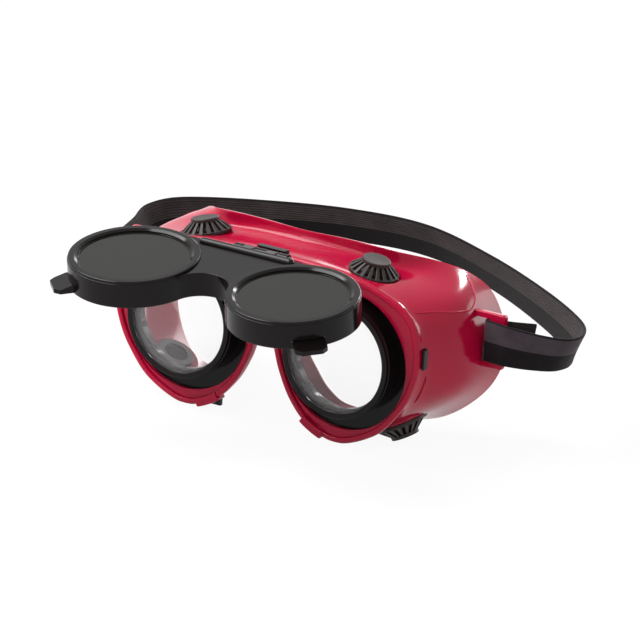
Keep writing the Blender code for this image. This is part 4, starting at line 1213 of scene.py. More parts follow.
@dataclass(frozen=True)
class SoftBody:
    """The one-piece vinyl body: front rim, barrel, face seal, vent seats and strap lugs."""

    rim_half_width: float = RIM_HALF_WIDTH
    seal_half_width: float = 88.0 * MM
    half_height: float = 40.0 * MM
    wall: float = 2.0 * MM
    rim_crest: float = 7.0 * MM
    rim_face: float = 8.2 * MM
    rim_edge: float = 8.6 * MM
    rim_band: float = 3.0 * MM
    flange: float = 2.0 * MM
    waist_depth: float = 13.0 * MM
    crease_depth: float = 36.0 * MM
    seal_depth: float = 70.0 * MM
    base_drop: float = 40.2 * MM
    opening_radius: float = 31.8 * MM
    opening_drop: float = 2.0 * MM
    opening_arch: float = 11.5 * MM
    notch_rise: float = 33.3 * MM
    notch_half_width: float = 13.9 * MM
    boss_radius: float = 11.6 * MM
    drill_depth: float = 8.8 * MM
    lug_thickness: float = 3.0 * MM
    lug_back: float = 49.0 * MM
    lug_reach: float = 98.47 * MM
    lug_bar_in: float = 89.97 * MM
    lug_arm: float = 2.7 * MM
    lug_top_root: float = 81.2 * MM
    lug_base_root: float = 86.35 * MM
    lug_rise: float = 8.5 * MM
    lug_corner: float = 1.6 * MM
    lug_edge: float = 0.6 * MM
    slit_half: float = 9.9 * MM
    seam_radius: float = 0.45 * MM
    fold_radius: float = 0.8 * MM
    pad_span: tuple[float, float] = (21.0 * MM, 34.0 * MM)
    pad_below: float = -28.0 * MM
    pad_proud: float = 1.0 * MM
    pad_lap: float = 3.0 * MM
    pad_front: float = 6.2 * MM
    pad_back: float = 12.4 * MM
    around: int = 10
    back: int = 14
    bar_steps: int = 16
    edge_shares: tuple[float, ...] = (0.2, 0.5, 0.8)
    lip_rows: int = 12
    lip_power: float = 0.7

    def station(self, shares: Sequence[Sequence[float]], half_width: float, depth: float) -> Array:
        """One outline of the body, its half mirrored and its shares turned into sizes.

        Args:
            shares: Half outline, as shares.
            half_width: What the X shares are of.
            depth: What the depth shares are of.

        Returns:
            A smooth closed outline of X, Z and depth.
        """
        half = np.array(shares)
        left = half[-2:0:-1] * np.array([-1.0, 1.0, 1.0])
        whole = np.concatenate([half, left]) * np.array([half_width, self.half_height, depth])
        return closed_curve(whole, self.around)

    def rim_outline(self) -> Array:
        """The front rim's outline of X and Z."""
        return self.station(RIM_SHARES, self.rim_half_width, self.rim_edge)[:, :2]

    def skin(self) -> Array:
        """Outer skin from the rim's edge back to the seal, as rows of points.

        Each column is a smooth curve through the four outlines.

        Returns:
            Points with shape (rows, points, 3), front row first.
        """
        outlines = np.stack([
            self.station(RIM_SHARES, self.rim_half_width, self.rim_edge),
            self.station(WAIST_SHARES, self.rim_half_width, self.waist_depth),
            self.station(CREASE_SHARES, self.rim_half_width, self.crease_depth),
            self.station(SEAL_SHARES, self.seal_half_width, self.seal_depth),
        ])[..., [0, 2, 1]]
        ends = np.concatenate([outlines[:1], outlines, outlines[-1:]])
        t = (np.arange(self.back) / self.back)[None, :, None, None]
        near = [ends[i:i + 3][:, None] for i in range(4)]
        rows = catmull(*near, t).reshape(-1, *outlines.shape[1:])
        return np.concatenate([rows, outlines[-1:]])

    def lip(self) -> Array:
        """The rim's rounded bead, from its inner edge over the crest to just before the skin.

        The outline is drawn in by half the band times (1 + cos a), and the depth falls from the
        line between the two edges by the bead's height times sin a to the lip's power.

        Returns:
            Points with shape (rows, points, 3), inner row first.
        """
        angles = (np.arange(self.lip_rows) * math.pi / self.lip_rows)[:, None]
        drawn = self.rim_band * (1 + np.cos(angles)) / 2
        share = angles / math.pi
        level = self.rim_face + (self.rim_edge - self.rim_face) * share
        depth = level - (self.rim_edge - self.rim_crest) * np.sin(angles) ** self.lip_power
        outline = self.rim_outline()
        rings = outline[None] + inwards(outline)[None] * drawn[..., None]
        ys = np.broadcast_to(depth, rings.shape[:2])
        return np.stack([rings[..., 0], ys, rings[..., 1]], axis=-1)

    def lining(self, skin: Array) -> Array:
        """The skin moved in by the wall along its normals, from the seal forward to the flange.

        Args:
            skin: The outer skin.

        Returns:
            Rows of points, rear row first, with a rounded edge between the two skins.
        """
        around = np.roll(skin, -1, axis=1) - np.roll(skin, 1, axis=1)
        normals = np.cross(around, np.gradient(skin, axis=0))
        normals /= np.linalg.norm(normals, axis=2)[:, :, None]
        inner = (skin - normals * self.wall)[self.back:]
        outline = self.rim_outline()
        drawn = outline + inwards(outline) * self.wall
        depth = np.full(len(outline), self.rim_face + self.flange)
        front = np.column_stack([drawn[:, 0], depth, drawn[:, 1]])
        t = np.array(self.edge_shares)[:, None, None]
        edge = skin[-1] * (1 - t) + inner[-1] * t
        edge[..., 1] += (self.wall / 4 * np.sin(math.pi * t))[..., 0]
        return np.concatenate([edge, inner[::-1], front[None]])

    def lug(self, side: Side) -> tuple[Surface, Surface]:
        """One strap lug and the cutter of its slit.

        Args:
            side: Which lug.

        Returns:
            The lug's plate, and the cutter.
        """
        reach = self.slit_half + self.lug_arm
        outline = rounded(np.array([(self.lug_top_root, self.lug_rise + reach),
                                    (self.lug_reach, self.lug_rise + reach),
                                    (self.lug_reach, self.lug_rise - reach),
                                    (self.lug_base_root, self.lug_rise - reach)]), self.lug_corner,
                          CORNER_STEPS)
        front = self.lug_back - self.lug_thickness / 2
        plate = slab(outline, front, front + self.lug_thickness, self.lug_edge)
        nose = self.lug_thickness / 2
        inner = self.lug_bar_in + nose
        root = self.lug_top_root - OVERRUN
        bar = arc((inner, self.lug_back), nose, 1.5 * math.pi, 0.5 * math.pi, self.bar_steps)
        run = np.concatenate([[(root, front - OVERRUN), (inner, front - OVERRUN)], bar,
                              [(inner, front + self.lug_thickness + OVERRUN),
                               (root, front + self.lug_thickness + OVERRUN)]])
        levels = (self.lug_rise - self.slit_half, self.lug_rise + self.slit_half)
        rows = np.stack([np.column_stack([run, np.full(len(run), z)]) for z in levels])
        return plate.moved(side.mirror), Surface.grid(rows).moved(side.mirror)

    def trims(self, side: Side) -> list[tuple[Cut, Surface]]:
        """The raised seam and the fold of one side wall, and the pad round its base tab.

        Args:
            side: Which wall.

        Returns:
            What to do and the shape that does it, in order.
        """
        seam = bead(np.array(SEAM_PLACES) * MM, self.seam_radius)
        fold = bead(np.array(FOLD_PLACES) * MM, self.fold_radius)
        outline = self.rim_outline()
        normals = inwards(outline)
        low, high = self.pad_span
        held = (outline[:, 0] > low) & (outline[:, 0] < high) & (outline[:, 1] < self.pad_below)
        outer = (outline - normals * self.pad_proud)[held]
        inner = (outline + normals * self.pad_lap)[held][::-1]
        pad = slab(rounded(np.concatenate([outer, inner]), self.pad_proud), self.pad_front, self.pad_back,
                   self.pad_proud / 2)
        return [(Cut.ADD, seam.moved(side.mirror)), (Cut.REMOVE, fold.moved(side.mirror)),
                (Cut.ADD, pad.moved(side.mirror))]

    def build(self, layout: Layout, vents: Vents, tabs: "SnapTabs") -> None:
        """Makes the body.

        Args:
            layout: Where the goggles lie.
            vents: The vents that it carries.
            tabs: The lens frame's tabs, which pass through its rim.
        """
        skin = self.skin()
        shell = Surface.grid(np.concatenate([self.lip(), skin, self.lining(skin)]))
        opening = twin_outline(layout.lens_centre, self.opening_radius, self.opening_drop,
                               self.opening_arch)
        front = self.rim_crest - OVERRUN
        back = self.rim_face + self.flange + OVERRUN
        low = (-self.notch_half_width, front, self.opening_radius - self.opening_drop - OVERRUN)
        tools = [trim for side in Side for trim in self.trims(side)]
        tools += [
            (Cut.REMOVE, slab(opening, front, back)),
            (Cut.REMOVE, block(low, (self.notch_half_width, back, self.notch_rise))),
            (Cut.ADD, vents.discs(self.boss_radius, -vents.boss_depth, BITE)),
            (Cut.REMOVE, vents.discs(self.boss_radius + BITE, -SEAT_GAP, vents.height)),
            (Cut.REMOVE, vents.discs(vents.stem_radius + SEAT_GAP, -self.drill_depth, OVERRUN)),
            (Cut.REMOVE, tabs.slots()),
        ]
        for side in Side:
            plate, slit = self.lug(side)
            lug = carve(make_object(f"lug_{side.label}", plate), [(Cut.REMOVE, slit)])
            tools.append((Cut.ADD, taken(lug)))
        low = (-self.seal_half_width, front, -self.base_drop - OVERRUN)
        tools.append((Cut.REMOVE, block(low, (self.seal_half_width, self.seal_depth, -self.base_drop))))
        item = carve(make_object("goggle_body_fine", shell), tools)
        layout.put(item, "goggle_body", Body.GOGGLES, VINYL)


def taken(item: bpy.types.Object) -> Surface:
    """The surface of an object, which is then removed.

    Args:
        item: The object.

    Returns:
        Its points and faces.
    """
    mesh = item.data
    points = np.empty(len(mesh.vertices) * 3)
    mesh.vertices.foreach_get("co", points)
    faces = [list(face.vertices) for face in mesh.polygons]
    bpy.data.objects.remove(item, do_unlink=True)
    bpy.data.meshes.remove(mesh)
    return Surface(points.reshape(-1, 3), np.empty((0, 4), int), faces)


# Lens frame


@dataclass(frozen=True)
class SnapTabs:
    """Necks that pass through slots in the body's rim, with flat heads at the top and the sides."""

    plate_front: float = 10.5 * MM
    plate_back: float = 12.3 * MM
    slot_gap: float = 0.25 * MM
    proud: float = 0.8 * MM
    head: float = 1.0 * MM
    head_depth: float = 3.3 * MM
    plate_inset: float = 4.8 * MM
    rim_half_width: float = RIM_HALF_WIDTH
    rim_top: float = 39.2 * MM
    top_width: float = 15.0 * MM
    side_height: float = 9.0 * MM
    side_rise: float = 6.4 * MM
    base_width: float = 11.0 * MM
    base_out: float = 28.0 * MM
    base_drop: float = 38.2 * MM
    edge: float = 0.3 * MM

    def spans(self, grow: float, over: float) -> list[tuple[tuple[float, float], tuple[float, float]]]:
        """Low and high X and Z of each neck.

        Args:
            grow: How much wider than the tab each side is.
            over: How much further out it runs.

        Returns:
            The top one, and then a side and a base one on each side.
        """
        side_x = self.rim_half_width + SEAT_GAP * 2 + over
        top = self.rim_top + SEAT_GAP + over
        root = self.plate_inset + self.proud + over + 2 * grow
        half_top = self.top_width / 2 + grow
        half_side = self.side_height / 2 + grow
        half_base = self.base_width / 2 + grow
        base = self.base_drop + over
        found = [((-half_top, top - root), (half_top, top))]
        for side in Side:
            xs = sorted((side.value * (side_x - root), side.value * side_x))
            found.append(((xs[0], self.side_rise - half_side), (xs[1], self.side_rise + half_side)))
            middle = side.value * self.base_out
            found.append(((middle - half_base, -base), (middle + half_base, root - base)))
        return found

    def slots(self) -> Surface:
        """The cutter of the slots in the body's rim.

        Returns:
            The cutter.
        """
        front = self.plate_front - self.slot_gap
        back = self.plate_back + self.slot_gap
        return Surface.joined([block((low[0], front, low[1]), (high[0], back, high[1]))
                               for low, high in self.spans(self.slot_gap, OVERRUN)])

    def pieces(self) -> list[Surface]:
        """The necks and heads.

        Returns:
            One surface for each neck and head.
        """
        necks = [block((low[0], self.plate_front, low[1]), (high[0], self.plate_back, high[1]))
                 for low, high in self.spans(0.0, self.head / 2)]
        spans = self.spans(0.0, 0.0)
        front = self.plate_back - self.head_depth
        (x0, _), (x1, top) = spans[0]
        heads = [block((x0, front, top), (x1, self.plate_back, top + self.head), self.edge)]
        for side, span in ((Side.LEFT, spans[1]), (Side.RIGHT, spans[3])):
            near = span[0][0] if side is Side.LEFT else span[1][0]
            xs = sorted((near, near + side.value * self.head))
            low, high = (xs[0], front, span[0][1]), (xs[1], self.plate_back, span[1][1])
            heads.append(block(low, high, self.edge))
        return necks + heads


@dataclass(frozen=True)
class Hinge:
    """The pin over the bridge, its washers, and where the knuckles and arms lie along it."""

    back: float = HINGE_BACK
    rise: float = HINGE_RISE
    pin_radius: float = 1.25 * MM
    pin_gap: float = 0.15 * MM
    head_radius: float = 2.2 * MM
    head: float = 1.0 * MM
    knuckle_radius: float = 2.9 * MM
    knuckle_half: float = 3.0 * MM
    arm_width: float = 5.0 * MM
    washer: float = 0.7 * MM
    ear_width: float = 4.0 * MM
    cap_steps: int = 40

    def spans(self) -> tuple[float, ...]:
        """X from and to of the arms, the washers and the outer ears.

        Returns:
            Six places along X, from the middle out.
        """
        arm_in = self.knuckle_half + SEAT_GAP
        arm_out = arm_in + self.arm_width
        washer_in = arm_out + SEAT_GAP
        washer_out = washer_in + self.washer
        ear_in = washer_out + SEAT_GAP
        return arm_in, arm_out, washer_in, washer_out, ear_in, ear_in + self.ear_width

    def to_axis(self) -> Matrix:
        """What carries a piece turned about Y onto the hinge, along X."""
        return Matrix.Translation((0.0, self.back, self.rise)) @ Matrix.Rotation(-math.pi / 2, 4, "Z")

    def cap(self, start: float, end: float) -> Array:
        """The round top of a knuckle's or an arm's outline in Y and Z, between two angles."""
        return arc((self.back, self.rise), self.knuckle_radius, start, end, self.cap_steps)

    def hole(self, length: float) -> Surface:
        """The cutter of the pin's hole, of a given length."""
        radius = self.pin_radius + self.pin_gap
        return rod(radius, -length / 2, length / 2).moved(self.to_axis())

    def build(self, layout: Layout) -> None:
        """Makes the pin and the washers.

        Args:
            layout: Where the goggles lie.
        """
        _, _, washer_in, washer_out, _, ear_out = self.spans()
        half = ear_out + SEAT_GAP
        edge = self.head / 3
        tip = half + self.head
        run = np.array([(self.head_radius - edge, -tip), (self.head_radius, edge - tip),
                        (self.head_radius, -half), (self.pin_radius, -half), (self.pin_radius, half),
                        (self.head_radius, half), (self.head_radius, tip - edge),
                        (self.head_radius - edge, tip)])
        pin = make_object("hinge_pin_fine", spindle(run, SMALL_STEPS).moved(self.to_axis()))
        layout.put(pin, "hinge_pin", Body.GOGGLES, STEEL)
        for side in Side:
            low, high = sorted((side.value * washer_in, side.value * washer_out))
            inner = self.pin_radius + self.pin_gap
            profile = oblong(inner, self.knuckle_radius, low, high)
            ring = turned(rounded(profile, self.washer / 5), SMALL_STEPS).moved(self.to_axis())
            layout.put(make_object(f"hinge_washer_{side.label}_fine", ring),
                       f"hinge_washer_{side.label}", Body.GOGGLES, STEEL)


@dataclass(frozen=True)
class LensFrame:
    """The fixed frame: a plate behind the rim, two lens tubes, snap tabs and three knuckles."""

    tube_wall: float = 1.4 * MM
    tube_bore: float = 25.3 * MM
    lip: float = 1.2 * MM
    lip_radius: float = 24.2 * MM
    gasket: float = 1.0 * MM
    lens: float = 2.0 * MM
    ring: float = 3.0 * MM
    ring_wall: float = 1.6 * MM
    edge: float = 0.3 * MM
    ridge: float = 0.4 * MM
    ridge_span: tuple[float, float] = (2.0 * MM, 3.4 * MM)
    flange_lap: float = 0.4 * MM
    cap_start: float = math.radians(25)
    cap_end: float = math.radians(215)

    def tube(self, back: float) -> Surface:
        """One lens tube with its lip and a ridge round its outside, turned.

        Args:
            back: How far back the tube runs.

        Returns:
            The tube, about Y at the origin.
        """
        outer = self.tube_bore + self.tube_wall
        low, high = self.ridge_span
        profile = np.array([(self.lip_radius, 0.0), (outer, 0.0), (outer, low),
                            (outer + self.ridge, low), (outer + self.ridge, high), (outer, high),
                            (outer, back), (self.tube_bore, back), (self.tube_bore, self.lip),
                            (self.lip_radius, self.lip)])
        return turned(rounded(profile, self.edge))

    def web(self, body: SoftBody, tabs: SnapTabs) -> Surface:
        """A ring of plate that closes the body's round opening from behind.

        Args:
            body: The soft body, whose opening it closes.
            tabs: The tabs, which set its depth.

        Returns:
            The ring, about Y at the origin.
        """
        outer = body.opening_radius + self.flange_lap
        inner = self.tube_bore + self.tube_wall / 2
        profile = oblong(inner, outer, tabs.plate_front, tabs.plate_back)
        return turned(profile).moved(Matrix.Translation((0.0, 0.0, -body.opening_drop)))

    def ears(self, body: SoftBody, tabs: SnapTabs, hinge: Hinge, front: "FrontFrame") -> Surface:
        """The three knuckles, each an outline of Y and Z carried along X.

        Args:
            body: The soft body, whose notch they rise through.
            tabs: The tabs, which set the plate's depth.
            hinge: The hinge that they carry.
            front: The front frame, which they clear.

        Returns:
            The three knuckles.
        """
        skirt_back = front.depth - front.standoff + 2 * SEAT_GAP
        root = body.opening_radius - body.opening_drop - 3 * body.wall
        top = body.notch_rise - SEAT_GAP
        outline = np.concatenate([
            [(tabs.plate_front + BITE, root), (tabs.plate_front + BITE, top),
             (body.rim_face - SEAT_GAP, top), (body.rim_crest - SEAT_GAP, top + hinge.knuckle_radius)],
            hinge.cap(self.cap_start, self.cap_end),
            [(hinge.back - hinge.knuckle_radius / 2, hinge.rise - 2 * hinge.knuckle_radius),
             (skirt_back, front.radius + 2 * SEAT_GAP), (skirt_back, root)],
        ])
        ear_in, ear_out = hinge.spans()[4:]
        spans = ((-hinge.knuckle_half, hinge.knuckle_half), (ear_in, ear_out), (-ear_out, -ear_in))
        return Surface.joined([along_x(outline, low, high) for low, high in spans])

    def build(self, layout: Layout, body: SoftBody, tabs: SnapTabs, hinge: Hinge,
              front: "FrontFrame") -> None:
        """Makes the fixed frame.

        Args:
            layout: Where the goggles lie.
            body: The soft body that holds it.
            tabs: Its snap tabs.
            hinge: The hinge that it carries.
            front: The front frame, which its knuckles clear.
        """
        outline = body.rim_outline()
        plate = outline + inwards(outline) * tabs.plate_inset
        item = make_object("lens_frame_fine", slab(plate, tabs.plate_front, tabs.plate_back, self.edge))
        tools = []
        for side in Side:
            shift = layout.eye(side)
            hole = rod(self.tube_bore + self.tube_wall / 2, tabs.plate_front - OVERRUN,
                       tabs.plate_back + OVERRUN, ROUND_STEPS)
            tools.append((Cut.ADD, self.web(body, tabs).moved(shift)))
            tools.append((Cut.REMOVE, hole.moved(shift)))
            tools.append((Cut.ADD, self.tube(tabs.plate_back).moved(shift)))
        tools += [(Cut.ADD, piece) for piece in tabs.pieces()]
        tools.append((Cut.ADD, self.ears(body, tabs, hinge, front)))
        tools.append((Cut.REMOVE, hinge.hole(2 * hinge.spans()[-1] + OVERRUN)))
        layout.put(carve(item, tools), "lens_frame", Body.GOGGLES, BLACK)
        self.build_lenses(layout)

    def build_lenses(self, layout: Layout) -> None:
        """Makes the clear lenses, their gaskets and the rings that keep them in.

        Args:
            layout: Where the goggles lie.
        """
        front = layout.lens_front
        radius = layout.lens_radius
        inner = radius - self.ring_wall
        gasket = front + self.lens + SEAT_GAP
        ring = gasket + self.gasket + SEAT_GAP
        lens = disc(radius, front, front + self.lens, self.edge)
        bands = {}
        for name, start, length in (("lens_gasket", gasket, self.gasket), ("lens_ring", ring, self.ring)):
            bands[name] = turned(rounded(oblong(inner, radius, start, start + length), self.edge))
        for side in Side:
            shift = layout.eye(side)
            for name, surface, finish in (("clear_lens", lens, CLEAR),
                                          ("lens_gasket", bands["lens_gasket"], RUBBER),
                                          ("lens_ring", bands["lens_ring"], BLACK)):
                node = f"{name}_{side.label}"
                layout.put(make_object(f"{node}_fine", surface.moved(shift)), node, Body.GOGGLES, finish)


# Front frame


@dataclass(frozen=True)
class FrontFrame:
    """The frame that flips up: two cups with raised rims, a bridge with a bar, and two arms."""

    standoff: float = 6.0 * MM
    radius: float = 29.5 * MM
    depth: float = 12.4 * MM
    wall: float = 1.2 * MM
    lip: float = 1.3 * MM
    rim_radius: float = 25.5 * MM
    seat_radius: float = 24.3 * MM
    chamfer: float = 0.8 * MM
    chamfer_gap: float = 0.1 * MM
    seat_inset: float = 3.0 * MM
    shell_edge: float = 0.3 * MM
    filter_edge: float = 0.4 * MM
    ring_edge: float = 0.15 * MM
    edge_step: float = 0.3 * MM
    edge_round: float = 0.6 * MM
    arch: float = 1.0 * MM
    bridge_drop: float = 1.2 * MM
    bridge_thickness: float = 1.6 * MM
    bar_radius: float = 2.0 * MM
    bar_length: float = 48.6 * MM
    bar_rise: float = 27.0 * MM
    dome_start: float = math.radians(85)
    filter_thickness: float = 3.0 * MM
    ring_flange: float = 0.8 * MM
    ring_sleeve: float = 2.4 * MM
    ring_wall: float = 0.9 * MM
    notch_depth: float = 4.2 * MM
    pull_width: float = 14.0 * MM
    pull_tip: float = 9.0 * MM
    pull_reach: float = 7.6 * MM
    pull_slope: float = 1.6 * MM
    pull_angle: float = math.radians(-45)
    strip_steps: int = 24

    @property
    def face(self) -> float:
        """Y of the cups' rims when the front is down."""
        return -self.standoff

    def cup_rim(self) -> Surface:
        """The raised rim round a cup's aperture, with its outer corner rounded off.

        Returns:
            The rim, about Y at the origin.
        """
        back = self.bridge_drop + BITE
        outer = self.radius - self.edge_step
        corner = arc((outer - self.edge_round, self.edge_round), self.edge_round, -math.pi / 2, 0.0,
                     CORNER_STEPS)
        profile = np.concatenate([[(self.seat_radius + BITE, self.chamfer),
                                   (self.rim_radius + BITE, 0.0)], corner,
                                  [(outer, back), (self.seat_radius + BITE, back)]])
        return turned(profile)

    def cup_inside(self) -> Surface:
        """What is cut out of a cup, from its aperture back to its mouth.

        Returns:
            The cutter, about Y at the origin.
        """
        seat_back = self.lip + self.filter_thickness + SEAT_GAP
        bore = self.radius - self.wall
        seat = bore - self.seat_inset
        middle = (self.rim_radius + self.chamfer_gap, self.chamfer)
        slope = arc(middle, self.chamfer, -math.pi / 2, -math.pi, CORNER_STEPS)
        run = np.concatenate([[(self.rim_radius, -OVERRUN)], slope,
                              [(self.seat_radius, self.lip), (seat, self.lip), (seat, seat_back),
                               (bore, seat_back), (bore, self.depth + OVERRUN)]])
        return spindle(run)

    def hollow(self, centre: float) -> Array:
        """The outline of the space behind the bridge, a wall inside the top and the nose arch.

        Args:
            centre: X of the right cup's centre.

        Returns:
            Points with shape (points, 2).
        """
        top = self.radius - self.wall
        rise = self.arch
        nose = (centre**2 + rise**2 - self.radius**2) / (2 * (self.radius + rise))
        middle = rise - nose
        wide = nose + self.wall
        reach = math.hypot(centre, middle)
        start = math.pi - math.asin(top / self.radius)
        side = math.atan2(middle, -centre) + TURN
        turn_cup = math.acos((self.radius**2 + reach**2 - wide**2) / (2 * self.radius * reach))
        turn_nose = math.acos((wide**2 + reach**2 - self.radius**2) / (2 * wide * reach))
        meet = math.atan2(-middle, centre) + turn_nose
        right = arc((centre, 0.0), self.radius, start, side - turn_cup, SMALL_STEPS)
        half_nose = arc((0.0, middle), wide, meet, math.pi / 2, SMALL_STEPS // 2)
        half = np.concatenate([right, half_nose[1:]])
        return mirrored(half)

    def arms(self, hinge: Hinge) -> Surface:
        """Two hinge arms, each an outline of Y and Z carried along X.

        Args:
            hinge: The hinge that they turn on.

        Returns:
            Both arms.
        """
        front = self.face + self.bridge_drop + self.bridge_thickness
        back = hinge.back + hinge.knuckle_radius
        low = self.radius - self.wall / 2
        foot = [(front, self.radius + hinge.knuckle_radius), (front, low), (back, low)]
        outline = np.concatenate([hinge.cap(0.0, math.pi), foot])
        arm_in, arm_out = hinge.spans()[:2]
        return Surface.joined([along_x(outline, low_x, high_x)
                               for low_x, high_x in ((arm_in, arm_out), (-arm_out, -arm_in))])

    def pull(self, layout: Layout, side: Side, rows: Array) -> Surface:
        """A block that runs out from a cup's middle at the pull tab's angle.

        Args:
            layout: Where the goggles lie.
            side: Which cup.
            rows: Half width, reach, front and back of each cross-section.

        Returns:
            The block.
        """
        out = np.array([side.value * math.cos(self.pull_angle), math.sin(self.pull_angle)])
        across = np.array([-out[1], out[0]])
        half, reach, top, back = rows.T[:, :, None]
        sides = half * np.array([-1.0, 1.0, 1.0, -1.0])
        depths = np.concatenate([top, top, back, back], axis=1)
        x = side.value * layout.lens_centre + out[0] * reach + across[0] * sides
        z = out[1] * reach + across[1] * sides
        return Surface.grid(np.stack([x, depths, z], axis=-1))

    def build(self, layout: Layout, hinge: Hinge) -> None:
        """Makes the front frame, its filters and their rings.

        Args:
            layout: Where the goggles lie.
            hinge: The hinge that it turns on.
        """
        outline = twin_outline(layout.lens_centre, self.radius, 0.0, self.arch)
        block_front = self.face + self.bridge_drop
        shell = slab(outline, block_front, self.face + self.depth, self.shell_edge)
        item = make_object("flip_frame_fine", shell)
        tools = []
        for side in Side:
            shift = layout.eye(side, self.face)
            tools += [(Cut.ADD, self.cup_rim().moved(shift)), (Cut.REMOVE, self.cup_inside().moved(shift))]
        tools.append((Cut.REMOVE, slab(self.hollow(layout.lens_centre), block_front + self.bridge_thickness,
                                       self.face + self.depth + OVERRUN)))
        tools.append((Cut.ADD, self.bar()))
        tools.append((Cut.ADD, self.arms(hinge)))
        tools.append((Cut.REMOVE, hinge.hole(2 * hinge.spans()[1] + OVERRUN)))
        half = self.pull_width / 2 + SEAT_GAP
        top = self.face + self.depth - self.notch_depth
        back = self.face + self.depth + OVERRUN
        cut = np.array([(half, self.radius - 2 * self.wall, top, back),
                        (half, self.radius + OVERRUN, top, back)])
        tools.append((Cut.REMOVE, Surface.joined([self.pull(layout, side, cut) for side in Side])))
        layout.put(carve(item, tools), "flip_frame", Body.FRONT, BLACK)
        self.build_filters(layout)

    def bar(self) -> Surface:
        """The round bar that stiffens the bridge, with domed ends.

        Returns:
            The bar, in its place.
        """
        straight = self.bar_length / 2 - self.bar_radius
        angles = np.linspace(self.dome_start, 0.0, CORNER_STEPS)
        end = self.bar_radius * np.sin(angles)
        run = np.concatenate([straight + end, -(straight + end[::-1])])
        width = self.bar_radius * np.cos(angles)
        radius = np.concatenate([width, width[::-1]])
        rod = spindle(np.column_stack([radius, run]), SMALL_STEPS)
        turn = Matrix.Rotation(math.pi / 2, 4, "Z")
        return rod.moved(Matrix.Translation((0.0, self.face + self.bridge_drop, self.bar_rise)) @ turn)

    def build_filters(self, layout: Layout) -> None:
        """Makes the filters and the rings that hold them, each with a pull tab.

        Args:
            layout: Where the goggles lie.
        """
        start = self.face + self.lip + SEAT_GAP
        ring_start = start + self.filter_thickness + SEAT_GAP
        outer = self.radius - self.wall - SEAT_GAP
        inner = outer - self.ring_wall
        lens = disc(layout.lens_radius, start, start + self.filter_thickness, self.filter_edge)
        sleeve = ring_start + self.ring_sleeve
        flange = ring_start + self.ring_flange
        profile = np.array([(self.seat_radius, ring_start), (outer, ring_start), (outer, sleeve),
                            (inner, sleeve), (inner, flange), (self.seat_radius, flange)])
        ring = turned(rounded(profile, self.ring_edge))
        top = self.face + self.depth - self.notch_depth + SEAT_GAP
        back = self.face + self.depth - SEAT_GAP
        half = self.pull_width / 2
        tip = self.pull_tip / 2
        reach = self.radius + self.pull_reach
        root = inner + SEAT_GAP / 2
        slope = top + self.pull_slope
        tab = np.array([(half, root, top, back), (half, self.radius, top, back),
                        (half, reach - (half - tip), slope, back), (tip, reach, slope, back)])
        strip = self.strip(layout, inner + SEAT_GAP / 2, outer - SEAT_GAP / 2)
        tongue = slab(strip, ring_start + self.ring_sleeve / 2, back - BITE)
        for side in Side:
            shift = layout.eye(side)
            glass = make_object(f"filter_lens_{side.label}_fine", lens.moved(shift))
            layout.put(glass, f"filter_lens_{side.label}", Body.FRONT, FILTER)
            item = make_object(f"filter_ring_{side.label}_fine", ring.moved(shift))
            carve(item, [(Cut.ADD, tongue.moved(side.mirror)), (Cut.ADD, self.pull(layout, side, tab))])
            layout.put(item, f"filter_ring_{side.label}", Body.FRONT, BLACK)

    def strip(self, layout: Layout, inner: float, outer: float) -> Array:
        """A curved strip at the pull tab's angle, as wide as the tab, in X and Z.

        Args:
            layout: Where the goggles lie.
            inner: Inner radius of the strip.
            outer: Its outer radius.

        Returns:
            Points with shape (points, 2).
        """
        spread = self.pull_width / 2 / outer
        high = self.pull_angle + spread
        low = self.pull_angle - spread
        centre = (layout.lens_centre, 0.0)
        return np.concatenate([arc(centre, outer, high, low, self.strip_steps),
                               arc(centre, inner, low, high, self.strip_steps)])


# Headband


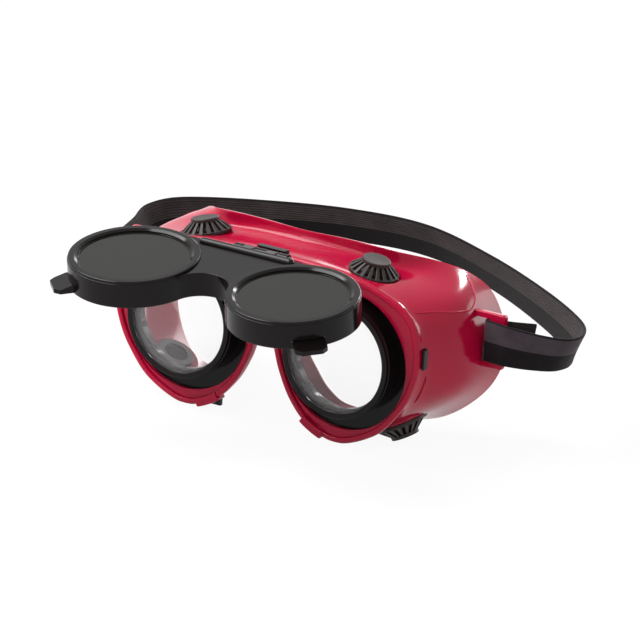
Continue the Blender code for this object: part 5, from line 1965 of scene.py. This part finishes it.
@dataclass(frozen=True)
class Headband:
    """Flat elastic webbing, folded round both lug bars, with a tail at each."""

    width: float = 19.0 * MM
    thickness: float = 1.4 * MM
    span: float = 124.0 * MM
    reach: float = 146.0 * MM
    tail: float = 14.0 * MM
    ribs: int = 7
    rib_height: float = 0.14 * MM
    rib_fade: float = 0.4 * MM
    steps: int = 14
    fold_steps: int = 5
    across_steps: int = 72
    edge_steps: int = 8

    def fold(self, body: SoftBody, side: Side) -> Array:
        """Tail behind one lug bar and the fold round it, the tail's end first.

        Args:
            body: The soft body, whose lug it goes round.
            side: Which lug.

        Returns:
            Points of the band's middle line.
        """
        nose = body.lug_thickness / 2
        radius = nose + SEAT_GAP + self.thickness / 2
        centre = (body.lug_bar_in + nose, body.lug_back)
        start = np.array([centre[0], body.lug_back + radius, body.lug_rise])
        tail = start + np.array(TAIL_SHARES)[::-1] * self.tail
        turn = arc(centre, radius, 0.5 * math.pi, 1.5 * math.pi, self.fold_steps)
        bend = np.column_stack([turn, np.full(len(turn), body.lug_rise)])
        return np.concatenate([tail, bend]) * np.array([side.value, 1.0, 1.0])

    def path(self, body: SoftBody) -> tuple[Array, Array]:
        """Middle line of the band and the way its width points, from tail to tail.

        Args:
            body: The soft body, whose lugs it passes through.

        Returns:
            Points, and a unit vector for each.
        """
        rows = np.array(BAND_SHARES)
        top = rows[:, :3] * np.array([self.span, self.reach, self.width])
        lean = np.column_stack([rows[:, 3:], np.sqrt(1 - (rows[:, 3:] ** 2).sum(axis=1))])
        right = self.fold(body, Side.RIGHT)
        left = self.fold(body, Side.LEFT)[::-1]
        upright = np.tile([0.0, 0.0, 1.0], (len(right), 1))
        points = np.concatenate([right, top - lean * self.width / 2, left])
        leans = np.concatenate([upright, lean, upright])
        return open_curve(points, self.steps), open_curve(leans, self.steps)

    def section(self) -> tuple[Array, Array, Array]:
        """Cross-section of the band: place across it, height over its middle, and which face.

        Both faces are flat, but for lengthwise cords over the lighter half of the inner one. Their
        height is 1 less the cosine of the place across the band. The two edges are half round.

        Returns:
            The three values at each point of the cross-section.
        """
        half = self.width / 2 - self.thickness / 2
        across = np.linspace(-half, half, self.across_steps)
        upper = np.clip(across / self.rib_fade, 0.0, 1.0)
        cord = self.rib_height * (1 - np.cos(TURN * self.ribs * across / half)) * upper
        turn = np.linspace(-math.pi / 2, math.pi / 2, self.edge_steps + 2)[1:-1]
        bend_across = half + self.thickness / 2 * np.cos(turn)
        bend_height = -self.thickness / 2 * np.sin(turn)
        place = np.concatenate([across, bend_across, across[::-1], -bend_across])
        height = np.concatenate([np.full(len(across), self.thickness / 2), bend_height,
                                 -self.thickness / 2 - cord[::-1] / 2, -bend_height])
        face = np.concatenate([np.ones(len(across)), np.linspace(1.0, 0.0, len(turn)),
                               np.zeros(len(across)), np.linspace(0.0, 1.0, len(turn))])
        return place, height, face

    def build(self, layout: Layout, body: SoftBody) -> None:
        """Makes the headband.

        Args:
            layout: Where the goggles lie.
            body: The soft body, whose lugs it passes through.
        """
        path, lean = self.path(body)
        along = np.gradient(path, axis=0)
        along /= np.linalg.norm(along, axis=1)[:, None]
        lean = lean - (lean * along).sum(axis=1)[:, None] * along
        lean /= np.linalg.norm(lean, axis=1)[:, None]
        out = np.cross(along, lean)
        place, height, face = self.section()
        rows = path[:, None] + lean[:, None] * place[None, :, None] + out[:, None] * height[None, :, None]
        surface = Surface.grid(rows)
        run = np.concatenate([[0.0], np.cumsum(np.linalg.norm(np.diff(path, axis=0), axis=1))])
        shape = rows.shape[:2]
        surface.weave = np.stack([np.broadcast_to(run[:, None], shape), np.broadcast_to(place, shape),
                                  np.broadcast_to(face, shape)], axis=-1).reshape(-1, 3)
        item = make_object("headband_fine", surface)
        layout.put(item, "headband", Body.GOGGLES, WEBBING)
        LOG.info("headband length %.0f mm", run[-1] / MM)


# Studio


@dataclass(frozen=True)
class Lamp:
    """One soft rectangular lamp."""

    name: str
    place: tuple[float, float, float]
    size: tuple[float, float]
    power: float

    def build(self, target: Vector) -> None:
        """Hangs the lamp and turns it to the goggles.

        Args:
            target: What it points at.
        """
        data = bpy.data.lights.new(self.name, "AREA")
        data.shape = "RECTANGLE"
        data.size, data.size_y = self.size
        data.energy = self.power
        item = bpy.data.objects.new(self.name, data)
        item.location = Vector(self.place)
        item.rotation_euler = (target - item.location).to_track_quat("-Z", "Y").to_euler()
        bpy.context.scene.collection.objects.link(item)


def shown(nodes: Nodes) -> Any:
    """A socket that is 1 where the camera, glass or a gloss sees a thing, and 0 where it only lights.

    Args:
        nodes: The nodes of the material or world that asks.

    Returns:
        The output socket.
    """
    rays = nodes.add("ShaderNodeLightPath").outputs
    plain = nodes.maths("ADD", rays["Is Camera Ray"], rays["Is Transmission Ray"], clamp=True)
    return nodes.maths("ADD", plain, rays["Is Glossy Ray"], clamp=True)


@dataclass(frozen=True)
class Studio:
    """Camera, pale floor, white surroundings and soft lamps."""

    azimuth: float = math.radians(30.717)
    elevation: float = math.radians(18.134)
    roll: float = math.radians(3.627)
    distance: float = 2576.4 * MM
    far: float = 10.0
    lens_mm: float = 329.03
    sensor_mm: float = 36.0
    aim: tuple[float, float, float] = (22.40 * MM, 17.15 * MM, 10.09 * MM)
    floor_half: float = 2.5
    floor_colour: Colour = (0.80, 0.79, 0.79)
    floor_glow: float = 0.93
    floor_gloss: float = 0.9
    level: float = 0.38
    lamps: tuple[Lamp, ...] = (
        Lamp("key", (-0.75, -0.35, 1.10), (1.0, 0.8), 30.0),
        Lamp("right", (1.3, -0.15, 0.55), (0.5, 0.9), 1.4),
        Lamp("front", (-0.5, -1.5, 1.0), (0.8, 0.6), 8.0),
        Lamp("spark", (0.05, 1.30, 0.85), (0.12, 0.12), 3.0),
        Lamp("behind", (0.10, 1.10, 0.18), (1.4, 0.6), 10.0),
    )

    def camera(self, layout: Layout) -> None:
        """Puts the camera at the photograph's angle.

        Args:
            layout: Where the goggles lie.
        """
        back = Vector((math.sin(self.azimuth) * math.cos(self.elevation),
                       -math.cos(self.azimuth) * math.cos(self.elevation), math.sin(self.elevation)))
        level = Vector((math.cos(self.azimuth), math.sin(self.azimuth), 0.0))
        right = level * math.cos(self.roll) + back.cross(level) * math.sin(self.roll)
        up = back.cross(right)
        data = bpy.data.cameras.new("camera")
        data.lens = self.lens_mm
        data.sensor_width = self.sensor_mm
        data.clip_end = self.far * self.distance
        item = bpy.data.objects.new("camera", data)
        place = layout.origin + Vector(self.aim) + back * self.distance
        turn = Matrix((right, up, back)).transposed().to_4x4()
        item.matrix_world = Matrix.Translation(place) @ turn
        bpy.context.scene.collection.objects.link(item)
        bpy.context.scene.camera = item

    def floor(self) -> None:
        """Lays the floor, which a camera sees as white with the goggles' shadow on it."""
        half = self.floor_half
        mesh = bpy.data.meshes.new("floor")
        corners = [(-half, -half, 0.0), (half, -half, 0.0), (half, half, 0.0), (-half, half, 0.0)]
        mesh.from_pydata(corners, [], [(0, 1, 2, 3)])
        made = bpy.data.materials.new("pale floor")
        made.use_nodes = True
        nodes = Nodes(made.node_tree)
        shader = made.node_tree.nodes["Principled BSDF"]
        nodes.fill(shader, {"Base Color": (*self.floor_colour, 1.0), "Roughness": self.floor_gloss})
        out = made.node_tree.nodes["Material Output"]
        glow = nodes.add("ShaderNodeEmission")
        seen = shown(nodes)
        mix = nodes.add("ShaderNodeMixShader")
        nodes.link(nodes.maths("MULTIPLY", seen, self.floor_glow), mix.inputs[0])
        nodes.link(shader.outputs[0], mix.inputs[1])
        nodes.link(glow.outputs[0], mix.inputs[2])
        nodes.link(mix.outputs[0], out.inputs["Surface"])
        mesh.materials.append(made)
        item = bpy.data.objects.new("floor", mesh)
        bpy.context.scene.collection.objects.link(item)

    def surroundings(self) -> None:
        """Gives the world a plain level, and white where the camera or the lenses look past all."""
        world = bpy.data.worlds.new("surroundings")
        world.use_nodes = True
        bpy.context.scene.world = world
        nodes = Nodes(world.node_tree)
        ground = world.node_tree.nodes["Background"]
        ground.inputs["Color"].default_value = (1.0, 1.0, 1.0, 1.0)
        seen = shown(nodes)
        level = nodes.maths("ADD", nodes.maths("MULTIPLY", seen, 1.0 - self.level), self.level)
        nodes.link(level, ground.inputs["Strength"])

    def build(self, layout: Layout) -> None:
        """Makes the studio.

        Args:
            layout: Where the goggles lie.
        """
        self.camera(layout)
        self.floor()
        self.surroundings()
        for lamp in self.lamps:
            lamp.build(layout.origin)
        bpy.context.scene.view_settings.view_transform = "Standard"


def main() -> None:
    """Loads the frame, builds every piece in order and sets up the studio."""
    logging.basicConfig(level=logging.INFO, format="%(name)s: %(message)s")
    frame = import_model()
    layout = Layout.from_frame(frame)
    vents = Vents()
    tabs = SnapTabs()
    hinge = Hinge()
    body = SoftBody()
    front = FrontFrame()
    body.build(layout, vents, tabs)
    vents.build(layout)
    LensFrame().build(layout, body, tabs, hinge, front)
    hinge.build(layout)
    front.build(layout, hinge)
    Headband().build(layout, body)
    Studio().build(layout)


if __name__ == "__main__":
    main()
